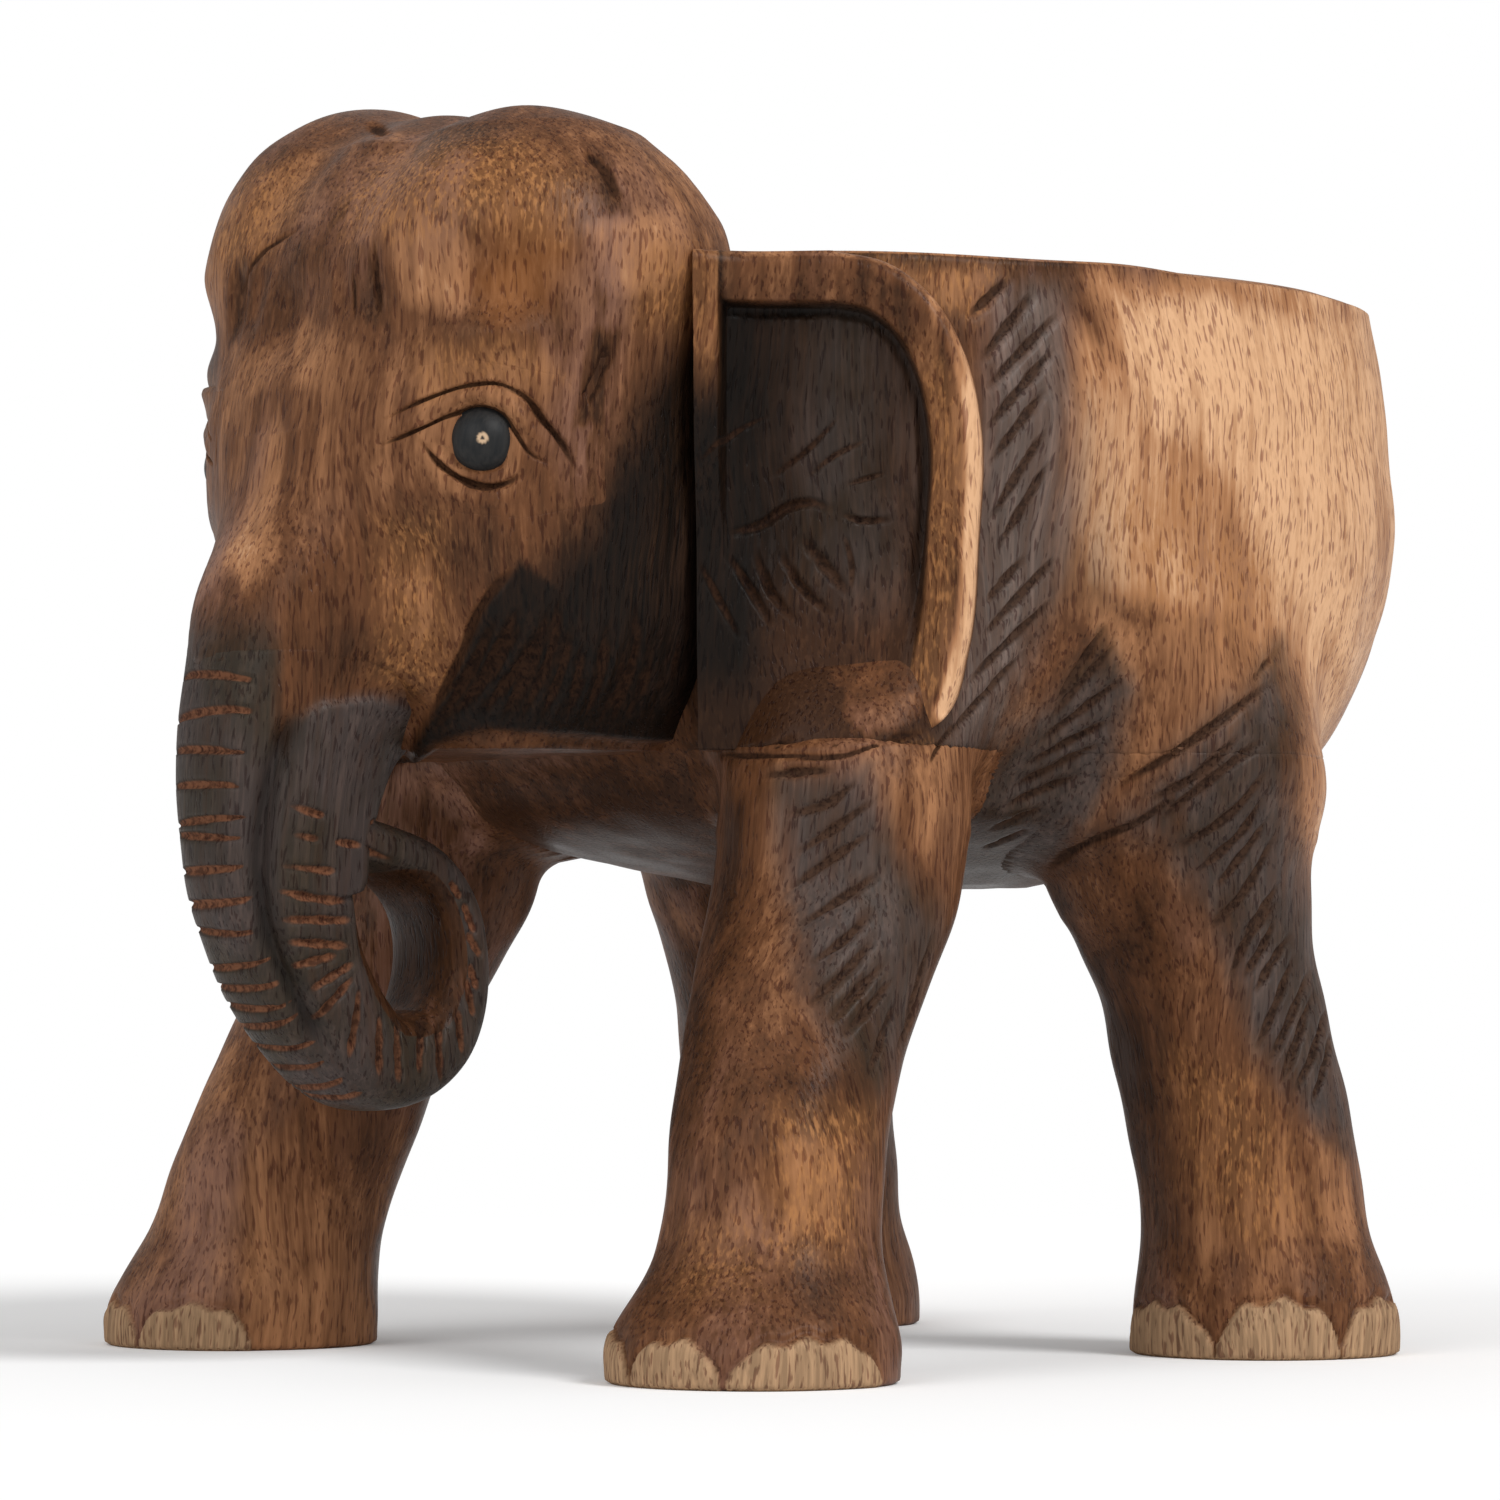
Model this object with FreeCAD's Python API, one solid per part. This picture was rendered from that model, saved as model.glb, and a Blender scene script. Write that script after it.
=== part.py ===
import FreeCAD
import Part
import math
import os

# A stool carved as a standing elephant: the seat is the cut-off back, the trunk curls under the chin.
# +Z is up, the elephant faces -Y and its left side is +X. The origin is on the floor under the seat.
# Lengths are in millimetres. A name that ends in share is a fraction of a named length.

# Seat and body
seat_height = 268.0
belly_height = 117.0
body_half_width = 113.0
body_front_reach = 122.0
body_rear_reach = 128.0
seat_rim_width = 13.0
seat_dish_depth = 5.0
seat_dish_slope = 14.0

# Seams where the blocks of wood are glued
leg_seam_height = 148.0
neck_seam_reach = 100.0
trunk_seam_height = 170.0

# Legs, with each place given from the middle of the body
shoulder_height = 206.0
front_left_foot_radius = 32.3
front_right_foot_radius = 34.0
front_foot_side = 105.5
front_foot_reach = 127.0
shoulder_side = 86.0
shoulder_reach = 88.0
rear_foot_radius = 32.5
rear_foot_side = 92.0
rear_foot_reach = 46.5
hip_side = 82.0
hip_reach = 27.0
shoulder_fillet = 16.0

# Head
head_top_height = 292.0
head_half_width = 72.0
head_front_reach = 55.0
head_rear_reach = 60.0
head_middle_reach = 135.0
dome_reach = 137.0
dome_height = 267.0
dome_side = 34.0
dome_half_width = 38.0
dome_half_length = 43.0
dome_half_height = 36.0
right_dome_half_height = 40.0
saddle_half_width = 22.0
saddle_half_height = 30.0
eye_radius = 7.0
eye_side = 51.5
eye_reach = 33.5
eye_height = 222.0
eye_socket_length = 20.0
eye_socket_height = 16.0
eye_socket_offset = 22.0

# Trunk, whose curl is placed from its middle
curl_reach = 161.0
curl_height = 95.0
curl_radius = 31.0
trunk_width = 34.0

# Ears
ear_root_side = 75.0
ear_root_reach = 114.0
ear_turn_degrees = 45.0
ear_top_height = 266.6
ear_length = 61.5
ear_root_tuck = 6.0
ear_thickness = 14.0
ear_hollow_depth = 8.0
ear_rim_width = 13.0

# Tail
tail_radius = 7.0
tail_length = 110.0
tail_top_height = 248.0

# Dowels
dowel_radius = 6.0
dowel_fit = 0.1
dowel_end_gap = 1.0
leg_dowel_length = 44.0
leg_dowel_spacing = 18.0
front_leg_dowel_inset = 14.0
rear_leg_dowel_inset = 7.0
neck_dowel_length = 60.0
neck_dowel_height = 208.0
neck_dowel_side = 30.0
trunk_dowel_length = 48.0
trunk_dowel_reach = 185.0

# The middle of the body lies behind the origin, so that the origin is midway along the whole stool
body_middle_y = 38.6

# A block wider, longer and higher than the stool, which splits the forms at the seams
cutting_block = 1000.0
# An edge this near to a form lies on its skin
skin_tolerance = 0.02

body_squareness = 2.5
head_squareness = 2.3
leg_squareness = 2.1
trunk_squareness = 2.6
ring_points = 12
# How much of a leg's dowel is in the leg, the rest being in the body
leg_dowel_depth_share = 0.66

# Height from belly to seat, then half width, front reach and rear reach
body_rows_share = (
    (0.000, 0.30, 0.34, 0.26),
    (0.070, 0.68, 0.73, 0.64),
    (0.180, 0.84, 0.91, 0.79),
    (0.400, 0.965, 0.985, 0.935),
    (0.650, 1.00, 1.00, 1.00),
    (0.850, 0.985, 0.985, 0.990),
    (1.000, 0.955, 0.967, 0.960),
)
# Height up to the shoulder, way from the foot to the shoulder, radius
front_left_leg_rows_share = (
    (0.000, 0.00, 1.00),
    (0.040, 0.00, 1.00),
    (0.145, 0.20, 0.78),
    (0.270, 0.31, 0.75),
    (0.400, 0.60, 0.79),
    (0.550, 1.03, 0.90),
    (0.720, 1.20, 0.90),
    (0.860, 1.53, 0.85),
    (1.000, 1.95, 0.72),
)
# The stool is carved by hand, and its right front leg is the stouter one
front_right_leg_rows_share = (
    (0.000, 0.00, 1.00),
    (0.040, 0.00, 1.00),
    (0.145, 0.15, 0.87),
    (0.270, 0.36, 0.86),
    (0.400, 0.64, 0.87),
    (0.550, 1.00, 0.90),
    (0.720, 1.20, 0.88),
    (0.860, 1.53, 0.83),
    (1.000, 1.95, 0.70),
)
rear_leg_rows_share = (
    (0.000, 0.00, 1.00),
    (0.040, 0.00, 1.00),
    (0.145, 0.10, 0.87),
    (0.300, 0.33, 0.86),
    (0.430, 0.62, 0.85),
    (0.570, 0.98, 0.98),
    (0.720, 1.12, 1.17),
    (0.860, 1.55, 1.04),
    (1.000, 2.10, 0.78),
)
# Height from the seam to the top, half width, front reach, rear reach
head_rows_share = (
    (0.000, 0.67, 0.60, 1.00),
    (0.110, 0.83, 0.73, 1.00),
    (0.320, 0.94, 0.91, 1.00),
    (0.520, 0.97, 1.00, 1.00),
    (0.680, 0.99, 0.93, 1.00),
    (0.880, 0.95, 0.78, 0.92),
    (1.000, 0.62, 0.48, 0.64),
)
# Place forward of the curl's middle and above it in curl radii, thickness in curl radii, width
trunk_fall_rows_share = (
    (0.10, 3.40, 1.90, 1.88),
    (0.56, 2.62, 1.85, 1.62),
    (0.96, 1.75, 1.42, 1.24),
    (1.06, 0.90, 1.14, 1.07),
)
trunk_curl_rows_share = (
    (0.94, 0.36, 1.05, 1.04),
    (0.68, -0.16, 0.96, 1.02),
    (0.18, -0.66, 0.82, 1.00),
    (-0.40, -0.55, 0.64, 0.95),
    (-0.63, -0.06, 0.50, 0.92),
    (-0.56, 0.46, 0.42, 0.90),
    (-0.24, 0.84, 0.40, 0.88),
    (0.34, 1.00, 0.40, 0.84),
)
# Fall down the tail, radius
tail_rows_share = (
    (0.00, 0.75),
    (0.30, 1.00),
    (0.60, 0.80),
    (0.80, 0.95),
    (1.00, 0.50),
)
# Way out from the head and height up the ear, from the top of the root round to its foot
ear_outline_share = (
    (0.43, 1.000),
    (0.64, 0.975),
    (0.80, 0.915),
    (0.94, 0.790),
    (1.00, 0.640),
    (0.99, 0.420),
    (0.95, 0.200),
    (0.86, 0.060),
    (0.70, 0.000),
)


def point(x, y, z):
    return FreeCAD.Vector(x, y, z)


def body_y(reach):
    """Y of a place that lies this far in front of the middle of the body."""
    return body_middle_y - reach


def squared_radius(angle, squareness):
    """Radius of a unit circle that is pushed out towards a square."""
    across = abs(math.cos(angle)) ** squareness
    along = abs(math.sin(angle)) ** squareness
    return (across + along) ** (-1.0 / squareness)


def closed_curve(points):
    curve = Part.BSplineCurve()
    curve.interpolate(Points=points, PeriodicFlag=True)
    return Part.Wire(curve.toShape())


def ring(centre, side_axis, side, front_axis, front, rear, squareness):
    """A closed section with its own reach to the front and to the rear."""
    points = []
    for index in range(ring_points):
        angle = 2.0 * math.pi * index / ring_points
        radius = squared_radius(angle, squareness)
        reach = front if math.sin(angle) > 0.0 else rear
        offset = side_axis * (side * radius * math.cos(angle))
        points.append(centre + offset + front_axis * (reach * radius * math.sin(angle)))
    return closed_curve(points)


def level_ring(x, y, z, side, front, rear, squareness):
    return ring(point(x, y, z), point(1, 0, 0), side, point(0, -1, 0), front, rear, squareness)


def skin(rings):
    """One smooth solid through the rings."""
    return Part.makeLoft(rings, True, False, False, 3)


def mirrored(shape):
    """The same piece on the right side of the elephant."""
    return shape.mirror(point(0, 0, 0), point(1, 0, 0))


def slab_between(low, high):
    """A block wider than the stool from one height to another."""
    corner = point(-cutting_block / 2.0, body_middle_y - cutting_block / 2.0, low)
    return Part.makeBox(cutting_block, cutting_block, high - low, corner)


def slab_in_front(reach):
    """A block wider than the stool that starts this far in front of the body's middle."""
    corner = point(-cutting_block / 2.0, body_y(reach) - cutting_block, -cutting_block / 2.0)
    return Part.makeBox(cutting_block, cutting_block, cutting_block, corner)


def dowel(base, direction, length):
    return Part.makeCylinder(dowel_radius, length, base, direction)


def dowel_bore(base, direction, length):
    start = base - direction * dowel_end_gap
    return Part.makeCylinder(dowel_radius + dowel_fit, length + 2.0 * dowel_end_gap, start, direction)


# Dowels across the seams

def leg_dowel_pair(top, inset):
    """Feet of the two dowels of a left leg, drawn in from its top towards the middle of the body."""
    middle = point(0, body_middle_y, top.z)
    inward = (middle - top).normalize()
    across = point(-inward.y, inward.x, 0) * (leg_dowel_spacing / 2.0)
    centre = top + inward * inset
    return [centre - across, centre + across]


def leg_dowel_bases():
    base_z = leg_seam_height - leg_dowel_depth_share * leg_dowel_length
    shoulder = point(shoulder_side, body_y(shoulder_reach), base_z)
    hip = point(hip_side, body_y(-hip_reach), base_z)
    left = leg_dowel_pair(shoulder, front_leg_dowel_inset) + leg_dowel_pair(hip, rear_leg_dowel_inset)
    return left + [point(-base.x, base.y, base.z) for base in left]


def neck_dowel_bases():
    y = body_y(neck_seam_reach) - neck_dowel_length / 2.0
    return [point(side * neck_dowel_side, y, neck_dowel_height) for side in (-1, 1)]


def trunk_dowel_base():
    return point(0, body_y(trunk_dowel_reach), trunk_seam_height - trunk_dowel_length / 2.0)


def cut_bores(solid, bases, direction, length):
    for base in bases:
        solid = solid.cut(dowel_bore(base, direction, length))
    return solid


# Legs

def leg_form(foot, shoulder, radius, rows):
    """A whole left leg from the floor up into the body, before it is split at the seam."""
    rings = []
    for height_share, way_share, radius_share in rows:
        centre = foot + (shoulder - foot) * way_share
        reach = radius * radius_share
        z = shoulder_height * height_share
        rings.append(level_ring(centre.x, centre.y, z, reach, reach, reach, leg_squareness))
    return skin(rings)


def front_leg_form(radius, rows):
    foot = point(front_foot_side, body_y(front_foot_reach), 0)
    shoulder = point(shoulder_side, body_y(shoulder_reach), 0)
    return leg_form(foot, shoulder, radius, rows)


def rear_leg_form():
    foot = point(rear_foot_side, body_y(-rear_foot_reach), 0)
    hip = point(hip_side, body_y(-hip_reach), 0)
    return leg_form(foot, hip, rear_foot_radius, rear_leg_rows_share)


def leg(form, drum):
    """The part of a leg below the seam, coped to the belly and bored for its dowels."""
    below = form.common(slab_between(-cutting_block, leg_seam_height))
    coped = below.cut(drum)
    return cut_bores(coped, leg_dowel_bases(), point(0, 0, 1), leg_dowel_length)


# Body

def drum_form():
    rings = []
    for height_share, side_share, front_share, rear_share in body_rows_share:
        z = belly_height + (seat_height - belly_height) * height_share
        side = body_half_width * side_share
        front = body_front_reach * front_share
        rear = body_rear_reach * rear_share
        rings.append(level_ring(0, body_middle_y, z, side, front, rear, body_squareness))
    return skin(rings)


def seat_ring(z, inset):
    _, side_share, front_share, rear_share = body_rows_share[-1]
    side = body_half_width * side_share - inset
    front = body_front_reach * front_share - inset
    rear = body_rear_reach * rear_share - inset
    return level_ring(0, body_middle_y, z, side, front, rear, body_squareness)


def seat_dish():
    """The shallow hollow inside the flat rim of the seat, drawn past the top so that it cuts clean."""
    slope = seat_dish_slope / seat_dish_depth
    above = seat_dish_depth
    outer = seat_ring(seat_height + above, seat_rim_width - slope * above)
    inner = seat_ring(seat_height - seat_dish_depth, seat_rim_width + seat_dish_slope)
    return Part.makeLoft([outer, inner], True, True)


def rear_surface_y(z):
    """Y of the back of the body at this height."""
    share = (z - belly_height) / (seat_height - belly_height)
    rows = body_rows_share
    for low, high in zip(rows, rows[1:]):
        if share <= high[0]:
            part_way = (share - low[0]) / (high[0] - low[0])
            rear_share = low[3] + (high[3] - low[3]) * part_way
            return body_middle_y + body_rear_reach * rear_share
    return body_middle_y + body_rear_reach * rows[-1][3]


def tail_form():
    """A tail in low relief down the back of the body."""
    rings = []
    for fall_share, radius_share in tail_rows_share:
        z = tail_top_height - tail_length * fall_share
        radius = tail_radius * radius_share
        rings.append(level_ring(0, rear_surface_y(z), z, radius, radius, radius, leg_squareness))
    return skin(rings)


def lies_on(edge, form):
    """Whether an edge runs along the skin of a form."""
    low, high = edge.ParameterRange
    spots = [Part.Vertex(edge.valueAt(low + (high - low) * share)) for share in (0.2, 0.5, 0.8)]
    return all(form.Shells[0].distToShape(spot)[0] < skin_tolerance for spot in spots)


def with_fillet(solid, drum, form):
    """Rounds the line where a shoulder meets the drum, and leaves it sharp where it can't be rounded."""
    edges = [edge for edge in solid.Edges if lies_on(edge, drum) and lies_on(edge, form)]
    radius = shoulder_fillet
    while radius > shoulder_fillet / 3.0:
        try:
            rounded = solid.makeFillet(radius, edges)
        except Part.OCCError:
            rounded = solid
        grown = rounded.Volume - solid.Volume
        if rounded.isValid() and 0.0 < grown < radius ** 3:
            return rounded
        radius *= 0.75
    return solid


def body(drum, leg_forms, ear_spaces):
    """The seat block with the shoulders and haunches above the seam, and flats where the ears lie."""
    above_seam = slab_between(leg_seam_height, seat_height)
    solid = drum
    for form in leg_forms:
        solid = with_fillet(solid.fuse(form.common(above_seam)), drum, form)
    solid = solid.fuse(tail_form())
    head_space = slab_in_front(neck_seam_reach).common(slab_between(leg_seam_height, cutting_block))
    solid = solid.cut(head_space).cut(seat_dish())
    for space in ear_spaces:
        solid = solid.cut(space)
    solid = cut_bores(solid, leg_dowel_bases(), point(0, 0, 1), leg_dowel_length)
    return cut_bores(solid, neck_dowel_bases(), point(0, 1, 0), neck_dowel_length)


# Head and trunk

def egg(centre, half_width, half_length, half_height):
    """A ball stretched to its own size along X, Y and Z."""
    stretch = FreeCAD.Matrix()
    stretch.scale(half_width, half_length, half_height)
    stretch.move(centre)
    return Part.makeSphere(1.0).transformGeometry(stretch)


def crown_lobes():
    """The two rounded lobes of the crown and the saddle between them. The right lobe is the higher."""
    y = body_y(dome_reach)
    left = egg(point(dome_side, y, dome_height), dome_half_width, dome_half_length, dome_half_height)
    right_centre = point(-dome_side, y, dome_height)
    right = egg(right_centre, dome_half_width, dome_half_length, right_dome_half_height)
    saddle = egg(point(0, y, dome_height), saddle_half_width, dome_half_length, saddle_half_height)
    return [left, right, saddle]


def skull_form():
    rings = []
    y = body_y(head_middle_reach)
    for height_share, side_share, front_share, rear_share in head_rows_share:
        z = leg_seam_height + (head_top_height - leg_seam_height) * height_share
        side = head_half_width * side_share
        front = head_front_reach * front_share
        rear = head_rear_reach * rear_share
        rings.append(level_ring(0, y, z, side, front, rear, head_squareness))
    return skin(rings)


def eye_place(side, out):
    """A place this far out of the eye's middle, away from the middle of the head."""
    sideways = side * (eye_side + out * eye_side / math.hypot(eye_side, eye_reach))
    reach = eye_reach + out * eye_reach / math.hypot(eye_side, eye_reach)
    return point(sideways, body_y(head_middle_reach + reach), eye_height)


def eye(side):
    return Part.makeSphere(eye_radius, eye_place(side, 0.0))


def eye_socket(side):
    """The ball-shaped hollow that is cut round an eye."""
    centre = eye_place(side, eye_socket_offset)
    return egg(centre, eye_socket_length, eye_socket_length, eye_socket_height)


def trunk_rings():
    """Rings square to the trunk's path, which runs through the rows."""
    rows = trunk_fall_rows_share + trunk_curl_rows_share
    path = []
    for forward_share, up_share, _, _ in rows:
        y = body_y(curl_reach + curl_radius * forward_share)
        path.append(point(0, y, curl_height + curl_radius * up_share))
    rings = []
    for index, (_, _, thickness_share, width_share) in enumerate(rows):
        before = path[max(index - 1, 0)]
        after = path[min(index + 1, len(path) - 1)]
        along = (after - before).normalize()
        outward = along.cross(point(1, 0, 0))
        half = curl_radius * thickness_share / 2.0
        side = trunk_width * width_share / 2.0
        rings.append(ring(path[index], point(1, 0, 0), side, outward, half, half, trunk_squareness))
    return rings


def trunk_form():
    """The trunk falls, curls up and meets its own back with its tip, which closes a ring."""
    rings = trunk_rings()
    curl_start = len(trunk_fall_rows_share)
    fall = skin(rings[:curl_start + 1])
    curl = skin(rings[curl_start:])
    return fall.fuse(curl)


def head_form(trunk_shape):
    """The skull with its lobes, the eyes in their sockets and the trunk's root above the trunk's seam."""
    root = trunk_shape.common(slab_between(trunk_seam_height, cutting_block))
    solid = skull_form().fuse(crown_lobes())
    for side in (-1, 1):
        solid = solid.cut(eye_socket(side)).fuse(eye(side))
    return solid.fuse(root)


def head(form, ears):
    """The head in front of the neck seam, with a slot for the root of each ear."""
    solid = form.common(slab_in_front(neck_seam_reach))
    for root in ears:
        solid = solid.cut(root)
    solid = cut_bores(solid, neck_dowel_bases(), point(0, 1, 0), neck_dowel_length)
    return cut_bores(solid, [trunk_dowel_base()], point(0, 0, 1), trunk_dowel_length)


def trunk(trunk_shape, skull):
    below = trunk_shape.common(slab_between(-cutting_block, trunk_seam_height))
    coped = below.cut(skull)
    return cut_bores(coped, [trunk_dowel_base()], point(0, 0, 1), trunk_dowel_length)


# Ears

def ear_place(out, back, z):
    """A place on the ear: out from the head along the ear, and back through its thickness."""
    turn = math.radians(ear_turn_degrees)
    x = ear_root_side + out * math.cos(turn) - back * math.sin(turn)
    y = body_y(ear_root_reach) + out * math.sin(turn) + back * math.cos(turn)
    return point(x, y, z)


def ear_wire(inset, back):
    """The ear's outline, straight at the root and along the top, drawn in by the inset."""
    half_height = (ear_top_height - leg_seam_height) / 2.0
    middle_z = leg_seam_height + half_height

    def place(out, up_share):
        up = (half_height - inset) * (2.0 * up_share - 1.0)
        return ear_place(out, back, middle_z + up)

    reach = ear_length - inset
    edge_points = [place(reach * out_share, up_share) for out_share, up_share in ear_outline_share]
    rim = Part.BSplineCurve()
    rim.interpolate(edge_points)
    top = place(-ear_root_tuck, 1.0)
    foot = place(-ear_root_tuck, 0.0)
    edges = [
        Part.makeLine(top, edge_points[0]),
        rim.toShape(),
        Part.makeLine(edge_points[-1], foot),
        Part.makeLine(foot, top),
    ]
    return Part.Wire(edges)


def ear():
    """The left ear, whose outer face is hollowed inside a raised rim."""
    slab = Part.makeLoft([ear_wire(0.0, 0.0), ear_wire(0.0, ear_thickness)], True, True)
    mouth = ear_wire(ear_rim_width - ear_hollow_depth / 2.0, -ear_hollow_depth)
    floor = ear_wire(ear_rim_width + ear_hollow_depth / 2.0, ear_hollow_depth)
    return slab.cut(Part.makeLoft([mouth, floor], True, True))


def ear_space():
    """Everything in front of the back of the left ear, above the seam under it."""
    corners = [
        ear_place(-cutting_block, ear_thickness, leg_seam_height),
        ear_place(cutting_block, ear_thickness, leg_seam_height),
        ear_place(cutting_block, -cutting_block, leg_seam_height),
        ear_place(-cutting_block, -cutting_block, leg_seam_height),
    ]
    floor = Part.Face(Part.makePolygon(corners + corners[:1]))
    return floor.extrude(point(0, 0, cutting_block))


def write(name, shape):
    shape.exportStep("parts/" + name + ".step")


def main():
    os.makedirs("parts", exist_ok=True)
    drum = drum_form()
    front_left = front_leg_form(front_left_foot_radius, front_left_leg_rows_share)
    front_right = front_leg_form(front_right_foot_radius, front_right_leg_rows_share)
    rear = rear_leg_form()
    leg_forms = {
        "front_left_leg": front_left,
        "front_right_leg": mirrored(front_right),
        "rear_left_leg": rear,
        "rear_right_leg": mirrored(rear),
    }
    for name, form in leg_forms.items():
        write(name, leg(form, drum))
    left_ear = ear()
    ears = {"left_ear": left_ear, "right_ear": mirrored(left_ear)}
    for name, shape in ears.items():
        write(name, shape)
    left_space = ear_space()
    write("body", body(drum, leg_forms.values(), [left_space, mirrored(left_space)]))
    trunk_shape = trunk_form()
    skull = head_form(trunk_shape)
    write("head", head(skull, ears.values()))
    write("trunk", trunk(trunk_shape, skull))
    upright = point(0, 0, 1)
    leg_dowels = [dowel(base, upright, leg_dowel_length) for base in leg_dowel_bases()]
    write("leg_dowels", Part.makeCompound(leg_dowels))
    neck_dowels = [dowel(base, point(0, 1, 0), neck_dowel_length) for base in neck_dowel_bases()]
    write("neck_dowels", Part.makeCompound(neck_dowels))
    write("trunk_dowel", dowel(trunk_dowel_base(), upright, trunk_dowel_length))


main()
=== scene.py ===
"""The looks of a carved elephant stool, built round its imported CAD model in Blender.

Every form is worked out in millimetres with numpy and put into its mesh in metres. The carved
wood is one smooth field: a drum for the body, a tapering column for each leg, a skull with two
lobes and a trunk swept along a path, joined by a smooth minimum. Each piece is a grid of rays
from the middle of its own node out to that field. Carving is a list of strokes, placed by where
they show in the photograph, cast onto the field and cut into the grid.
"""

import logging
import math
from dataclasses import dataclass, field as dataclass_field
from enum import Enum
from typing import Callable, Sequence

import bpy
import numpy as np
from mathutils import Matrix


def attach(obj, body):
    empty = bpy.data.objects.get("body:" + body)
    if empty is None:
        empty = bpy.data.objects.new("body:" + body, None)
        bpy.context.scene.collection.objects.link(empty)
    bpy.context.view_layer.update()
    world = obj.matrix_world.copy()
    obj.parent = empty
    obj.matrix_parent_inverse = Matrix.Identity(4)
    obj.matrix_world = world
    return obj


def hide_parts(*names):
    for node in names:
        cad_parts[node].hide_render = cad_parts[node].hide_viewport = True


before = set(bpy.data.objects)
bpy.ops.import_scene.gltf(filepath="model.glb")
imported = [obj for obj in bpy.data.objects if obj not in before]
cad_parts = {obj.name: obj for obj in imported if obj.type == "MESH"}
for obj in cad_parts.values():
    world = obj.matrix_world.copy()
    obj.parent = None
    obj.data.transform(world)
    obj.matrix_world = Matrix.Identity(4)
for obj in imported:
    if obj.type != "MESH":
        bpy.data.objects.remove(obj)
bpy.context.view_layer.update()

Array = np.ndarray
Field = Callable[[Array], Array]
Pixels = Sequence[tuple[float, float]]
Colour = tuple[float, float, float]
log = logging.getLogger("elephant_stool")

METRE = 0.001
UP = np.array([0.0, 0.0, 1.0])
MIRRORED = np.array([-1.0, 1.0, 1.0])


# Camera

@dataclass(frozen=True)
class PhotoCamera:
    """The camera that was fitted to the photograph, which is 1500 by 1500 pixels.

    It stands level at its height, turned by azimuth from the front towards the elephant's left,
    and its lens points at the pixel (centre_x, centre_y).
    """

    azimuth: float = math.radians(51.0)
    middle_y: float = -1.4
    distance: float = 1622.0
    height: float = 92.0
    focal_pixels: float = 6400.0
    centre_x: float = 764.0
    centre_y: float = 985.0
    frame_pixels: float = 1500.0
    sensor: float = 36.0
    cast_margin: float = 260.0
    cast_steps: int = 260
    halvings: int = 12
    clip_end: float = 100.0

    @property
    def position(self) -> Array:
        """Place of the lens in millimetres."""
        return np.array([
            self.distance * math.sin(self.azimuth),
            self.middle_y - self.distance * math.cos(self.azimuth),
            self.height,
        ])

    def rays(self, pixels: Array) -> Array:
        """Unit directions through the pixels, shape (n, 3)."""
        forward = np.array([-math.sin(self.azimuth), math.cos(self.azimuth), 0.0])
        right = np.array([math.cos(self.azimuth), math.sin(self.azimuth), 0.0])
        across = (pixels[:, 0:1] - self.centre_x) / self.focal_pixels
        above = (self.centre_y - pixels[:, 1:2]) / self.focal_pixels
        rays = forward + right * across + UP * above
        return rays / np.linalg.norm(rays, axis=1, keepdims=True)

    def project(self, points: Array) -> Array:
        """Pixels of the photograph at which points are seen, shape (n, 2)."""
        offset = points - self.position
        cos, sin = math.cos(self.azimuth), math.sin(self.azimuth)
        away = offset[:, 1] * cos - offset[:, 0] * sin
        across = offset[:, 0] * cos + offset[:, 1] * sin
        return np.column_stack([
            self.centre_x + self.focal_pixels * across / away,
            self.centre_y - self.focal_pixels * offset[:, 2] / away,
        ])

    def cast(self, pixels: Pixels, form: Field) -> Array:
        """Where the lines of sight through the pixels first meet a form.

        Args:
            pixels: places in the photograph.
            form: signed field, negative inside.

        Returns:
            One point in millimetres for each pixel that meets the form.
        """
        rays = self.rays(np.asarray(pixels, float))
        near, far = self.distance - self.cast_margin, self.distance + self.cast_margin
        travel = np.linspace(near, far, self.cast_steps)
        points = self.position + rays[:, None, :] * travel[None, :, None]
        inside = form(points) < 0.0
        hit = inside.any(axis=1)
        rays, first = rays[hit], inside[hit].argmax(axis=1)
        high = travel[first]
        low = high - (far - near) / (self.cast_steps - 1)
        for _ in range(self.halvings):
            middle = (low + high) / 2.0
            within = form(self.position + rays * middle[:, None]) < 0.0
            high = np.where(within, middle, high)
            low = np.where(within, low, middle)
        return self.position + rays * high[:, None]

    def build(self) -> None:
        """Adds the camera to the scene. Its lens is turned to the photograph's middle pixel."""
        half = self.frame_pixels / 2.0
        data = bpy.data.cameras.new("photo_camera")
        data.sensor_width = self.sensor
        data.lens = self.sensor * self.focal_pixels / self.frame_pixels
        data.clip_end = self.clip_end
        camera = bpy.data.objects.new("photo_camera", data)
        bpy.context.scene.collection.objects.link(camera)
        camera.location = self.position * METRE
        tilt = math.atan((self.centre_y - half) / self.focal_pixels)
        turn = math.atan((self.centre_x - half) / self.focal_pixels)
        camera.rotation_euler = (math.pi / 2.0 + tilt, 0.0, self.azimuth + turn)
        bpy.context.scene.camera = camera


CAMERA = PhotoCamera()


# Fields

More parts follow.
